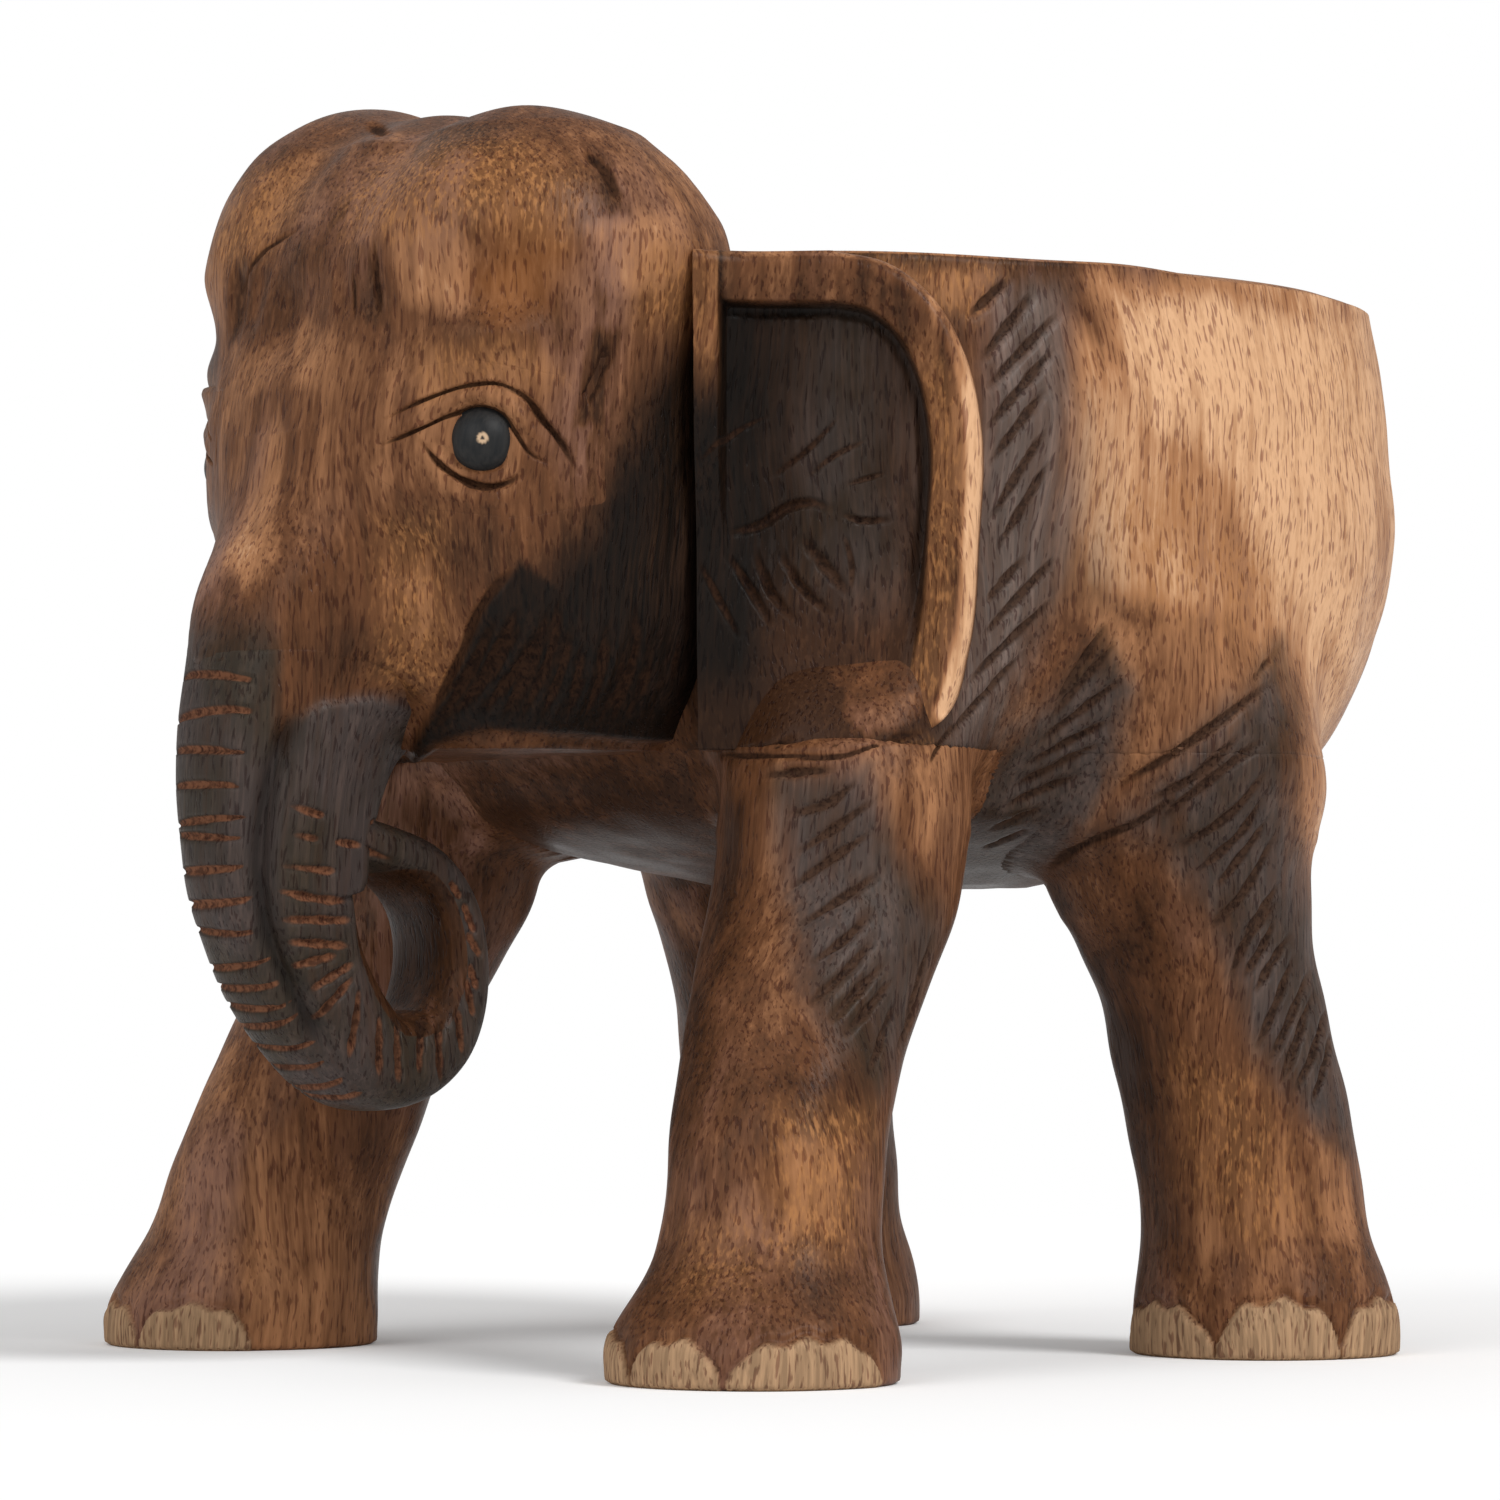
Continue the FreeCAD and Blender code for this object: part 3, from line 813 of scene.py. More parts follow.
def make_mesh(name: str, grid: Grid, material: bpy.types.Material) -> bpy.types.Object:
    """One smooth object from a closed grid, with its marks as point attributes.

    Args:
        name: name of the object.
        grid: closed surface in millimetres.
        material: its finish.

    Returns:
        The object, at the origin, with outward faces.
    """
    kept, corners, first = weld(grid.flat(), grid.faces())
    centre = kept.mean(axis=0)
    a, b, c, d = (kept[corners[:, k]] - centre for k in range(4))
    volume = np.einsum("ij,ij->", a, np.cross(b, c)) + np.einsum("ij,ij->", a, np.cross(c, d))
    if volume < 0.0:
        corners = corners[:, ::-1]
    triangle = (corners == np.roll(corners, -1, axis=1)).any(axis=1)
    loops = [
        list(dict.fromkeys(row)) if three else row
        for row, three in zip(corners.tolist(), triangle)
    ]
    mesh = bpy.data.meshes.new(name)
    mesh.from_pydata((kept * METRE).tolist(), [], loops)
    mesh.polygons.foreach_set("use_smooth", np.ones(len(mesh.polygons), bool))
    for key in sorted(grid.marks):
        values = grid.marks[key].reshape(-1)[first]
        attribute = mesh.attributes.new(key, "FLOAT", "POINT")
        attribute.data.foreach_set("value", values.astype(np.float32))
    mesh.materials.append(material)
    mesh.update()
    piece = bpy.data.objects.new(name, mesh)
    bpy.context.scene.collection.objects.link(piece)
    return piece


def dress(piece: bpy.types.Object, slot: str, *nodes: str) -> None:
    """Ties a piece to the root body, hides the CAD nodes it stands for and logs its faces."""
    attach(piece, "root")
    if nodes:
        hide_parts(*nodes)
    log.info("%s: %d faces", piece.name, len(piece.data.polygons))


# Carver's marks, read off the photograph

def gouges(width: float, depth: float, taper: float, *lines: Pixels) -> list[Stroke]:
    """Strokes of one width, depth and taper."""
    return [Stroke(line, width, depth, taper) for line in lines]


FLANK_GOUGES = gouges(
    1.9, 1.9, 0.36,
    ((968, 316), (1011, 274)), ((979, 363), (1039, 284)), ((984, 391), (1064, 306)),
    ((982, 434), (1061, 340)), ((989, 466), (1050, 382)), ((986, 527), (1053, 420)),
    ((993, 556), (1057, 452)), ((984, 606), (1029, 552)), ((979, 641), (1064, 549)),
    ((964, 688), (1061, 591)), ((950, 735), (1032, 645)),
    ((1052, 712), (1110, 618)), ((1045, 727), (1121, 638)), ((1034, 749), (1132, 673)),
    ((1023, 768), (1117, 718)), ((1008, 790), (1108, 742)), ((1001, 808), (1082, 775)),
    ((990, 830), (1045, 808)), ((984, 849), (1030, 830)),
    ((1249, 686), (1278, 644)), ((1104, 797), (1197, 738), (1282, 673)),
    ((1140, 806), (1197, 775), (1249, 727)), ((1149, 827), (1226, 768), (1269, 734)),
    ((1167, 856), (1234, 812), (1273, 764)), ((1189, 879), (1245, 830), (1267, 790)),
    ((1212, 893), (1252, 845), (1271, 816)), ((1204, 936), (1249, 886), (1278, 832)),
    ((1241, 941), (1267, 904), (1282, 882)), ((1226, 990), (1245, 945), (1282, 897)),
    ((1241, 982), (1267, 941), (1278, 916)), ((1252, 997), (1275, 960), (1293, 934)),
    ((1252, 1056), (1275, 1008), (1297, 953)), ((1267, 1067), (1293, 1015), (1312, 971)),
    ((1278, 1089), (1297, 1041), (1315, 993)), ((1293, 1097), (1312, 1056), (1325, 1012)),
    ((1312, 1108), (1325, 1064), (1330, 1027)),
)
FRONT_LEG_GOUGES = gouges(
    1.8, 1.4, 0.42,
    ((759, 776), (803, 771), (842, 769)), ((782, 815), (824, 805), (863, 776)),
    ((790, 857), (837, 826), (881, 795)), ((782, 893), (829, 860), (879, 828)),
    ((790, 931), (840, 899), (888, 867)), ((803, 967), (842, 941), (874, 909)),
    ((800, 1011), (842, 975), (879, 933)), ((827, 1024), (855, 993), (889, 959)),
    ((842, 1037), (871, 1006), (897, 975)), ((866, 1079), (879, 1048), (900, 998)),
    ((908, 1029), (921, 977), (934, 930)), ((897, 1056), (915, 1014), (928, 967)),
)
BELLY_CREASE = gouges(1.6, 1.4, 0.2, ((1046, 872), (1082, 846), (1138, 822), (1182, 792)))
SEAM_CHIPS = gouges(
    0.9, 0.9, 0.15,
    ((719, 756), (766, 755), (850, 754), (882, 742), (929, 729)),
    ((769, 750), (790, 738), (811, 735), (829, 739), (840, 750)),
    ((929, 765), (939, 747), (960, 721), (981, 703)),
)
FACE_CUTS = (
    Stroke(((613, 333), (601, 368), (586, 399), (578, 422)), 2.8, 1.5, 0.3),
    Stroke(((582, 146), (605, 169), (621, 201)), 2.6, 1.3, 0.3),
    Stroke(((368, 119), (383, 134)), 2.2, 1.1, 0.3, Side.LEFT),
    Stroke(((372, 237), (370, 274), (378, 320)), 1.7, 1.2, 0.5, Side.LEFT),
    Stroke(((353, 265), (353, 318)), 1.1, 0.6, 0.5, Side.LEFT),
    Stroke(((298, 224), (262, 250), (232, 292)), 1.2, 0.6, 0.5, Side.LEFT),
    Stroke(((515, 562), (484, 602), (455, 667), (430, 713)), 1.7, 1.1, 0.2),
)
CHEEK_CUTS = gouges(
    1.8, 1.2, 0.4,
    ((450, 717), (494, 667), (523, 616)), ((477, 715), (516, 669), (540, 623)),
    ((516, 720), (550, 652), (559, 587)), ((559, 717), (571, 696), (580, 640)),
    ((591, 727), (613, 691), (622, 640)), ((432, 735), (470, 672), (500, 610)),
    ((500, 722), (532, 660), (548, 600)), ((535, 720), (558, 675), (570, 620)),
    ((620, 725), (640, 680), (650, 630)), ((650, 720), (668, 670), (676, 620)),
    ((470, 690), (500, 645), (520, 600)), ((580, 722), (598, 670), (606, 615)),
    ((602, 735), (628, 670), (634, 590)),
)
LID_CUTS = (
    Stroke(((380, 420), (430, 395), (473, 383), (496, 382), (524, 395), (543, 419)), 0.75, 1.2,
        0.3),
    Stroke(((496, 382), (524, 395), (543, 419), (562, 442), (578, 475)), 1.35, 1.9, 0.35),
    Stroke(((376, 446), (422, 426), (450, 413), (481, 405), (500, 411), (515, 431), (531, 454),
        (551, 463)), 0.8, 1.3, 0.2),
    Stroke(((418, 438), (438, 463), (461, 479), (488, 486), (512, 480), (526, 470)), 1.2, 1.9, 0.3),
    Stroke(((446, 470), (470, 486), (500, 489)), 0.7, 1.0, 0.3),
)
LID_FORMS = (
    Stroke(((392, 431), (435, 408), (478, 395), (506, 405), (530, 430), (556, 458)), 2.6, -1.0,
        0.3),
    Stroke(((430, 440), (452, 458), (485, 464), (515, 458)), 2.4, 0.9, 0.2),
    Stroke(((425, 468), (455, 494), (492, 500), (530, 488)), 2.8, -0.6, 0.3),
)
LID_PATCH = Region(((372, 372), (480, 366), (560, 380), (598, 430), (600, 498), (520, 512),
    (430, 504), (368, 466)), 5.0)
FACE_FORMS = (
    Stroke(((405, 372), (455, 345), (520, 338), (585, 372)), 11.0, -3.6, 0.5),
    Stroke(((505, 275),), 15.0, 2.6, 0.0),
    Stroke(((300, 245), (296, 300), (305, 380)), 15.0, 2.4, 0.4),
    Stroke(((372, 232), (368, 274), (376, 325)), 5.0, 1.5, 0.35),
    Stroke(((340, 250), (345, 320)), 5.0, 0.9, 0.35),
    Stroke(((440, 437), (480, 434), (520, 440)), 12.0, 3.4, 0.4),
    Stroke(((560, 480), (540, 540), (500, 600), (455, 680)), 15.0, -2.6, 0.5),
    Stroke(((415, 520), (395, 600)), 17.0, 1.6, 0.4),
)


FLANK_STAIN = (
    Region(((1000, 275), (1066, 275), (1070, 400), (1066, 520), (1056, 600), (1030, 660),
        (1012, 720), (1060, 690), (1030, 730), (960, 790), (930, 800), (950, 700)), 30.0, 0.84),
    Region(((1030, 400), (1080, 400), (1110, 600), (1040, 600)), 62.0, 0.62),
    Region(((1105, 632), (1132, 690), (1112, 780), (1070, 850), (1010, 885), (965, 890), (930, 920),
        (955, 800), (1020, 730)), 24.0),
    Region(((1085, 840), (1140, 800), (1190, 740), (1230, 700), (1240, 740), (1180, 850),
        (1120, 830)), 36.0, 0.93),
    Region(((1278, 645), (1296, 720), (1288, 800), (1302, 880), (1330, 980), (1352, 1120),
        (1345, 1150), (1300, 1110), (1255, 1050), (1232, 980), (1212, 920), (1185, 880),
        (1160, 835), (1200, 770), (1250, 690)), 30.0),
)
FRONT_LEG_STAIN = (
    Region(((775, 775), (868, 768), (895, 850), (935, 905), (945, 940), (925, 1000), (900, 1075),
        (872, 1100), (838, 1050), (800, 985), (785, 900)), 26.0, 0.9),
)
CHEEK_BLACK = (
    Region(((520, 558), (484, 604), (455, 669), (430, 715), (402, 768), (438, 744), (484, 728),
        (564, 731), (622, 738), (760, 745), (760, 650), (660, 640), (590, 605)), 7.0),
    Region(((518, 604), (540, 575), (582, 532), (614, 461), (642, 390), (670, 343), (702, 285),
        (790, 265), (790, 720), (540, 720)), 32.0),
)
HEAD_STAIN = (
    Region(((120, 628), (255, 622), (330, 650), (330, 760), (120, 760)), 34.0),
)
TRUNK_BARE = (
    Region(((285, 440), (470, 440), (445, 700), (412, 699), (370, 695), (320, 701), (293, 722),
        (284, 756), (274, 740)), 13.0),
)
FACE_GOLD = (
    Region(((345, 190), (400, 140), (520, 135), (580, 175), (560, 240), (480, 225), (400, 235),
        (350, 235)), 26.0),
    Region(((420, 345), (520, 340), (560, 380), (480, 380), (420, 400)), 22.0, 0.7),
    Region(((640, 250), (705, 240), (690, 330), (640, 320)), 24.0, 0.9),
    Region(((380, 520), (440, 520), (445, 690), (380, 680)), 26.0, 0.9),
    Region(((225, 170), (300, 130), (330, 160), (250, 230)), 26.0, 0.6),
)
FACE_SHADE = (
    Region(((272, 230), (342, 236), (350, 325), (300, 330), (276, 290)), 24.0, 0.4),
    Region(((415, 312), (560, 300), (575, 345), (430, 350)), 20.0, 0.55),
    Region(((400, 112), (560, 106), (545, 150), (420, 150)), 18.0, 0.6),
    Region(((395, 500), (500, 515), (520, 560), (470, 600), (400, 560)), 30.0, 0.45),
    Region(((590, 330), (620, 330), (598, 420), (574, 425)), 12.0, 0.95),
    Region(((580, 140), (600, 150), (632, 215), (605, 205)), 12.0, 0.9),
    Region(((350, 240), (378, 238), (382, 322), (350, 322)), 9.0, 0.7),
    Region(((600, 440), (650, 400), (640, 520), (560, 560)), 40.0, 0.8),
    Region(((300, 640), (400, 630), (420, 700), (320, 700)), 26.0, 0.45),
)
FACE_LIGHT = (
    Region(((216, 320), (262, 330), (290, 420), (285, 560), (250, 610), (212, 560)), 28.0, 0.62),
    Region(((390, 560), (440, 540), (440, 640), (400, 650)), 26.0, 0.5),
    Region(((570, 215), (690, 190), (700, 270), (660, 300), (600, 300)), 26.0, 0.64),
    Region(((400, 180), (455, 205), (505, 250), (470, 330), (400, 315), (368, 262)), 42.0, 0.62),
    Region(((240, 330), (300, 290), (345, 330), (330, 400), (280, 400)), 30.0, 0.5),
    Region(((210, 240), (235, 190), (300, 140), (340, 150), (250, 250), (222, 330)), 22.0, 0.55),
)
FACE_ORANGE = (
    Region(((470, 280), (505, 232), (560, 246), (545, 300), (500, 322)), 34.0, 0.8),
)
BODY_LIGHT = (
    Region(((1085, 265), (1400, 290), (1420, 480), (1410, 640), (1345, 760), (1310, 660),
        (1250, 590), (1210, 500), (1120, 440)), 55.0, 0.99),
    Region(((1060, 300), (1240, 400), (1260, 640), (1060, 600)), 40.0, 0.78),
    Region(((1290, 640), (1420, 600), (1360, 760), (1325, 900), (1300, 850)), 26.0, 0.8),
    Region(((1050, 600), (1110, 560), (1150, 640), (1130, 700)), 28.0, 0.62),
    Region(((860, 255), (1020, 262), (985, 320), (900, 300)), 18.0, 0.52),
)
BODY_GOLD = (
    Region(((860, 255), (1010, 262), (975, 320), (900, 300)), 18.0, 1.0),
    Region(((1080, 470), (1180, 480), (1280, 560), (1250, 640), (1130, 600), (1075, 560)), 40.0,
        0.8),
    Region(((1320, 320), (1370, 330), (1370, 460), (1330, 440)), 30.0, 0.5),
    Region(((880, 760), (950, 740), (935, 860), (900, 850)), 22.0, 0.8),
)
EAR_FACET = (
    Region(((843, 716), (860, 697), (925, 688), (930, 722), (862, 746)), 6.0, 0.29),
)
SEAT_SHADE = (
    Region(((735, 225), (1120, 255), (1080, 268), (960, 261), (735, 250)), 8.0, 0.7),
    Region(((690, 650), (800, 640), (842, 695), (850, 738), (900, 730), (935, 690), (950, 740),
        (850, 765), (690, 770)), 12.0, 1.0),
)
FLANK_SLATE = (
    Region(((985, 285), (1080, 285), (1085, 400), (1070, 560), (1030, 660), (960, 740), (950, 600)),
        26.0),
)
LEG_GOLD = (
    Region(((780, 1110), (870, 1110), (850, 1250), (765, 1260)), 26.0, 1.0),
    Region(((1180, 1060), (1250, 1080), (1310, 1210), (1250, 1250), (1190, 1180)), 34.0, 0.9),
    Region(((270, 1120), (330, 1100), (330, 1210), (285, 1230)), 26.0, 0.7),
    Region(((690, 1230), (760, 1200), (760, 1290), (680, 1290)), 24.0, 0.6),
)
LEG_LIGHT = (
    Region(((775, 1130), (860, 1130), (845, 1240), (770, 1250)), 26.0, 0.58),
    Region(((280, 1120), (350, 1100), (350, 1230), (285, 1230)), 26.0, 0.5),
    Region(((900, 750), (985, 690), (960, 780), (930, 880), (905, 850)), 22.0, 0.52),
    Region(((1300, 1120), (1360, 1150), (1370, 1260), (1310, 1250)), 26.0, 0.5),
    Region(((190, 1080), (250, 1060), (220, 1180), (160, 1190)), 24.0, 0.5),
    Region(((1055, 880), (1110, 860), (1120, 950), (1090, 960)), 18.0, 0.42),
)
LEG_SHADE = (
    Region(((640, 1250), (870, 1250), (880, 1330), (630, 1330)), 34.0, 0.4),
    Region(((1110, 940), (1160, 900), (1170, 1200), (1150, 1290), (1130, 1290)), 30.0, 0.5),
    Region(((715, 800), (760, 790), (740, 1000), (700, 1000)), 22.0, 0.4),
)


# Sub-assemblies

@dataclass
class Body:
    """The seat block: wall and belly from rays, then the flat rim and the shallow dish."""

    columns: int = 460
    wall_rows: int = 168
    centre: tuple[float, float, float] = (0.0, SIZES.body_middle_y, 200.0)
    edge_round: float = 0.9
    dish_rows: int = 14
    rim_insets: tuple[float, ...] = (0.3, 0.9, 4.0, 9.0)
    floor_insets: tuple[float, ...] = (40.0, 60.0, 80.0)
    belly_share: float = 0.17
    seat_tone: float = 0.60
    full_turn: float = math.radians(51.0)
    full_size: float = 1.9
    worn_edge: float = 2.6
    ripple: float = 0.26

    def angles(self) -> Array:
        """Angles round the body, closer together on both flanks, where the carving is."""
        even = full_circle(self.columns)
        return even - 0.24 * np.sin(2.0 * even)

    def build(self) -> Grid:
        """Makes the grid.

        A wall point is centre + ray times the way to the field. A seat point is the wall's top
        drawn in by an inset, and it sinks by the dish depth along a cubic between rim and floor.
        """
        angle = self.angles()
        level = ring_rays(angle)
        centre = np.array(self.centre)
        top_start = np.array([centre[0], centre[1], SIZES.seat_height - 0.2])
        top_reach = leave(CARVING.body, top_start, level, 170.0)
        worn = self.worn_edge * np.maximum(np.cos(angle - self.full_turn), 0.0) ** 3
        worn = worn + 0.35 * (1.0 + np.sin(7.0 * angle + 2.0 * np.sin(3.0 * angle)))
        rise = SIZES.seat_height - self.edge_round - worn - centre[2]
        top_elevation = np.arctan2(rise, top_reach)
        share = np.linspace(0.0, 1.0, self.wall_rows)
        low, turn = -0.5 * math.pi, -0.25 * math.pi
        elevation = np.where(
            share[:, None] < self.belly_share,
            low + (turn - low) * share[:, None] / self.belly_share,
            turn + (top_elevation[None, :] - turn) * (share[:, None] - self.belly_share)
            / (1.0 - self.belly_share),
        )
        rays = np.cos(elevation)[..., None] * level[None] + np.sin(elevation)[..., None] * UP
        wall = centre + rays * leave(CARVING.body, centre, rays, 190.0)[..., None]
        toward = np.maximum(np.cos(angle - self.full_turn), 0.0) ** 2
        height = wall[..., 2]
        full = self.full_size * smooth_step(150.0, 178.0, height)
        full = full * smooth_step(232.0, 205.0, height)
        wall = wall + level[None] * (full * toward[None])[..., None]
        grid = Grid(wall)
        normal = grid.normals(rays)
        points = grid.flat()
        strokes = FLANK_GOUGES + BELLY_CREASE + SEAM_CHIPS
        depth, groove = cut_depth(points, strokes, CARVING.everything)
        keep = smooth_step(0.0, 5.0, SIZES.seat_height - points[:, 2])
        depth = (depth + hand_ripple(points, self.ripple)) * keep
        points = points - normal.reshape(-1, 3) * depth[:, None]
        wall = points.reshape(wall.shape)
        seat = self.seat(top_start, level, top_reach, worn)
        whole = Grid(np.concatenate([wall, seat]))
        extra = len(seat) * self.columns
        flat = whole.flat()
        facing = np.concatenate([normal.reshape(-1, 3), np.tile(UP, (extra, 1))])
        on_seat = np.concatenate([np.zeros(len(points)), np.ones(extra)])
        y, z = flat[:, 1], flat[:, 2]
        behind = smooth_step(20.0, 90.0, y) * smooth_step(150.0, 185.0, z)
        # Darker low on the body and at the front under the head: painted shade under the belly and
        # the head.
        tone = 0.38 + 0.46 * behind - 0.26 * smooth_step(155.0, 128.0, z)
        tone = tone - 0.16 * smooth_step(0.0, -50.0, y)
        # The shoulder's lobe under the ear is darkened towards 0.12: painted shade under the ear.
        lobe = smooth_step(-12.0, -4.0, 9.0 + CARVING.shoulder_cut(flat))
        lobe = lobe * smooth_step(200.0, 188.0, z)
        lobe = lobe * smooth_step(146.0, 149.0, z) * smooth_step(-20.0, -34.0, y)
        tone = tone - (tone - 0.12) * lobe
        light = paint(flat, facing, BODY_LIGHT) * (1.0 - lobe)
        tone = np.maximum(tone, np.maximum(light, paint(flat, facing, EAR_FACET)))
        whole.marks["tone"] = np.where(on_seat > 0.5, self.seat_tone, tone)
        off_seat = 1.0 - on_seat
        whole.marks["gold"] = paint(flat, facing, BODY_GOLD) * off_seat + 0.25 * on_seat
        whole.marks["slate"] = paint(flat, facing, FLANK_SLATE)
        stain = paint(flat, facing, FLANK_STAIN) * smooth_step(-62.0, -50.0, y)
        whole.marks["stain"] = stain * off_seat
        edge = 0.45 * smooth_step(8.0, 2.0, SIZES.seat_height - z) * smooth_step(10.0, -30.0, y)
        whole.marks["shade"] = np.maximum(paint(flat, facing, SEAT_SHADE), edge) * off_seat
        whole.pad_marks(0, extra, groove=groove)
        return whole

    def seat(self, start: Array, level: Array, reach: Array, worn: Array) -> Array:
        """Rows of the seat, from its rounded edge over the rim and the dish to the middle.

        Args:
            start: middle of the seat, a little under its top.
            level: level unit directions of the columns.
            reach: way from the middle to the wall in each direction.
            worn: how far the edge is worn down in each direction.
        """
        rim_end = SIZES.seat_rim_width
        floor_start = rim_end + SIZES.seat_dish_slope
        slope = np.linspace(rim_end, floor_start, self.dish_rows)
        rows = []
        for inset in np.concatenate([self.rim_insets, slope, self.floor_insets]):
            drop = self.edge_round * max(1.0 - inset / self.edge_round, 0.0) ** 2
            sink = SIZES.seat_dish_depth * smooth_step(rim_end, floor_start, inset)
            z = SIZES.seat_height - drop - sink - worn * smooth_step(9.0, 0.0, inset)
            row = start + level * np.maximum(reach - inset, 0.0)[:, None]
            rows.append(np.column_stack([row[:, :2], z]))
        middle = [start[0], start[1], SIZES.seat_height - SIZES.seat_dish_depth]
        return np.stack(rows + [np.tile(middle, (self.columns, 1))])


@dataclass
class LegPiece:
    """One leg below the seam, from rays level with the floor, out from its leaning middle line."""

    leg: Leg
    columns: int = 260
    rows: int = 190
    overlap: float = 2.0
    spread: float = 18.0
    sole_round: float = 1.4
    full_turn: float = math.radians(-129.0)
    full_size: float = 2.2
    ripple: float = 0.34

    @property
    def side(self) -> int:
        """1 on the elephant's left, -1 on its right."""
        return self.leg.value[1]

    @property
    def rear(self) -> bool:
        """Whether this is one of the two rear legs."""
        return self.leg in (Leg.REAR_LEFT, Leg.REAR_RIGHT)

    def nails(self) -> tuple[tuple[float, float, float], ...]:
        """Middle angle, half width and height of each toenail, in degrees and millimetres."""
        if self.rear:
            return ((-98.0, 33.0, 13.0), (-37.0, 28.0, 14.5), (21.0, 29.0, 14.0))
        return ((-124.0, 25.0, 11.5), (-76.0, 22.0, 11.0), (-16.0, 36.0, 11.5))

    def build(self) -> Grid:
        """Makes the grid: each level row is the middle line plus rays to the field."""
        column = CARVING.legs[self.leg]
        heights = np.linspace(0.0, SIZES.leg_seam + self.overlap, self.rows)
        angle = full_circle(self.columns)
        x, y, radius, *_ = column.at(heights)
        start = np.stack([x, y, heights], axis=-1)[:, None, :]
        level = ring_rays(angle)
        rays = np.broadcast_to(level, (self.rows, self.columns, 3))
        far = np.broadcast_to((radius + self.spread)[:, None], rays.shape[:2])
        reach = leave(CARVING.torso, start, rays, far)
        inset = 1.4 * smooth_step(SIZES.leg_seam + 0.3, SIZES.leg_seam + self.overlap, heights)
        reach = reach - (inset + quarter_round(self.sole_round, heights))[:, None]
        if not self.rear:
            turned = angle - self.full_turn * self.side + math.pi * (self.side < 0)
            toward = np.maximum(np.cos(turned), 0.0) ** 2
            full = self.full_size * smooth_step(125.0, 85.0, heights)[:, None]
            reach = reach + full * toward[None]
        nail, rim = self.nail_marks(np.degrees(angle), heights)
        reach = reach + 0.7 * nail - 0.9 * rim
        wall = Grid(start + rays * reach[..., None])
        normal = wall.normals(rays).reshape(-1, 3)
        points = wall.flat()
        strokes = FLANK_GOUGES + FRONT_LEG_GOUGES + BELLY_CREASE + SEAM_CHIPS
        depth, groove = cut_depth(points, strokes, CARVING.everything)
        past = CARVING.drum(points) - column(points)
        under = 1.6 * smooth_step(-9.0, -15.0, past)
        uneven = hand_ripple(points, self.ripple) * smooth_step(1.0, 9.0, points[:, 2])
        points = points - normal * (depth + under + uneven)[:, None]
        wall.points = points.reshape(wall.points.shape)
        sole = np.broadcast_to(start[:1], (1, self.columns, 3))
        top = np.broadcast_to(start[-1:], (1, self.columns, 3))
        whole = Grid(np.concatenate([sole, wall.points, top]))
        flat = whole.flat()
        z = flat[:, 2]
        upward = np.tile(UP, (self.columns, 1))
        facing = np.concatenate([-upward, normal, upward])
        stain = FLANK_STAIN if self.rear else FRONT_LEG_STAIN
        tone = 0.30 + 0.08 * smooth_step(60.0, 20.0, z) + 0.06 * smooth_step(120.0, 148.0, z)
        # The front right leg is painted lighter all over: painted light.
        tone = tone + (0.10 if self.leg is Leg.FRONT_RIGHT else 0.0)
        # The inner sides of the legs are darker: painted shade between the legs.
        inner_side_shade = 0.16 * smooth_step(6.0, -10.0, self.outward(flat))
        tone = tone - inner_side_shade * smooth_step(30.0, 70.0, z)
        whole.marks["tone"] = np.maximum(tone, paint(flat, facing, LEG_LIGHT + BODY_LIGHT))
        whole.marks["gold"] = paint(flat, facing, LEG_GOLD)
        whole.marks["shade"] = paint(flat, facing, LEG_SHADE)
        whole.marks["stain"] = paint(flat, facing, stain)
        pale = np.clip(nail, 0, 1).reshape(-1)
        whole.pad_marks(self.columns, self.columns, groove=groove, pale=pale)
        return whole

    def outward(self, points: Array) -> Array:
        """How far points lie to the outer side of the leg's middle line."""
        x = CARVING.legs[self.leg].at(points[:, 2])[0]
        return (points[:, 0] - x) * self.side

    def nail_marks(self, degrees: Array, heights: Array) -> tuple[Array, Array]:
        """How much each wall point is toenail, and how much it is the cut over a toenail.

        A nail's top is an arch: height times the square root of 1 less the angle share squared.
        """
        turn = degrees if self.side > 0 else 180.0 - degrees
        nail = np.zeros((len(heights), len(degrees)))
        rim = np.zeros_like(nail)
        for middle, half, height in self.nails():
            away = (turn - middle + 180.0) % 360.0 - 180.0
            share = np.clip(np.abs(away) / half, 0.0, 1.0)
            top = height * np.sqrt(1.0 - share**2.4) * (1.0 + 0.07 * np.sin(0.35 * away + middle))
            gap = top[None, :] - heights[:, None]
            inside = (np.abs(away) < half)[None, :]
            nail = np.maximum(nail, smooth_step(-0.3, 0.7, gap) * inside)
            rim = np.maximum(rim, np.clip(1.0 - np.abs(gap + 0.9) / 1.3, 0.0, 1.0) * inside)
        return nail, rim


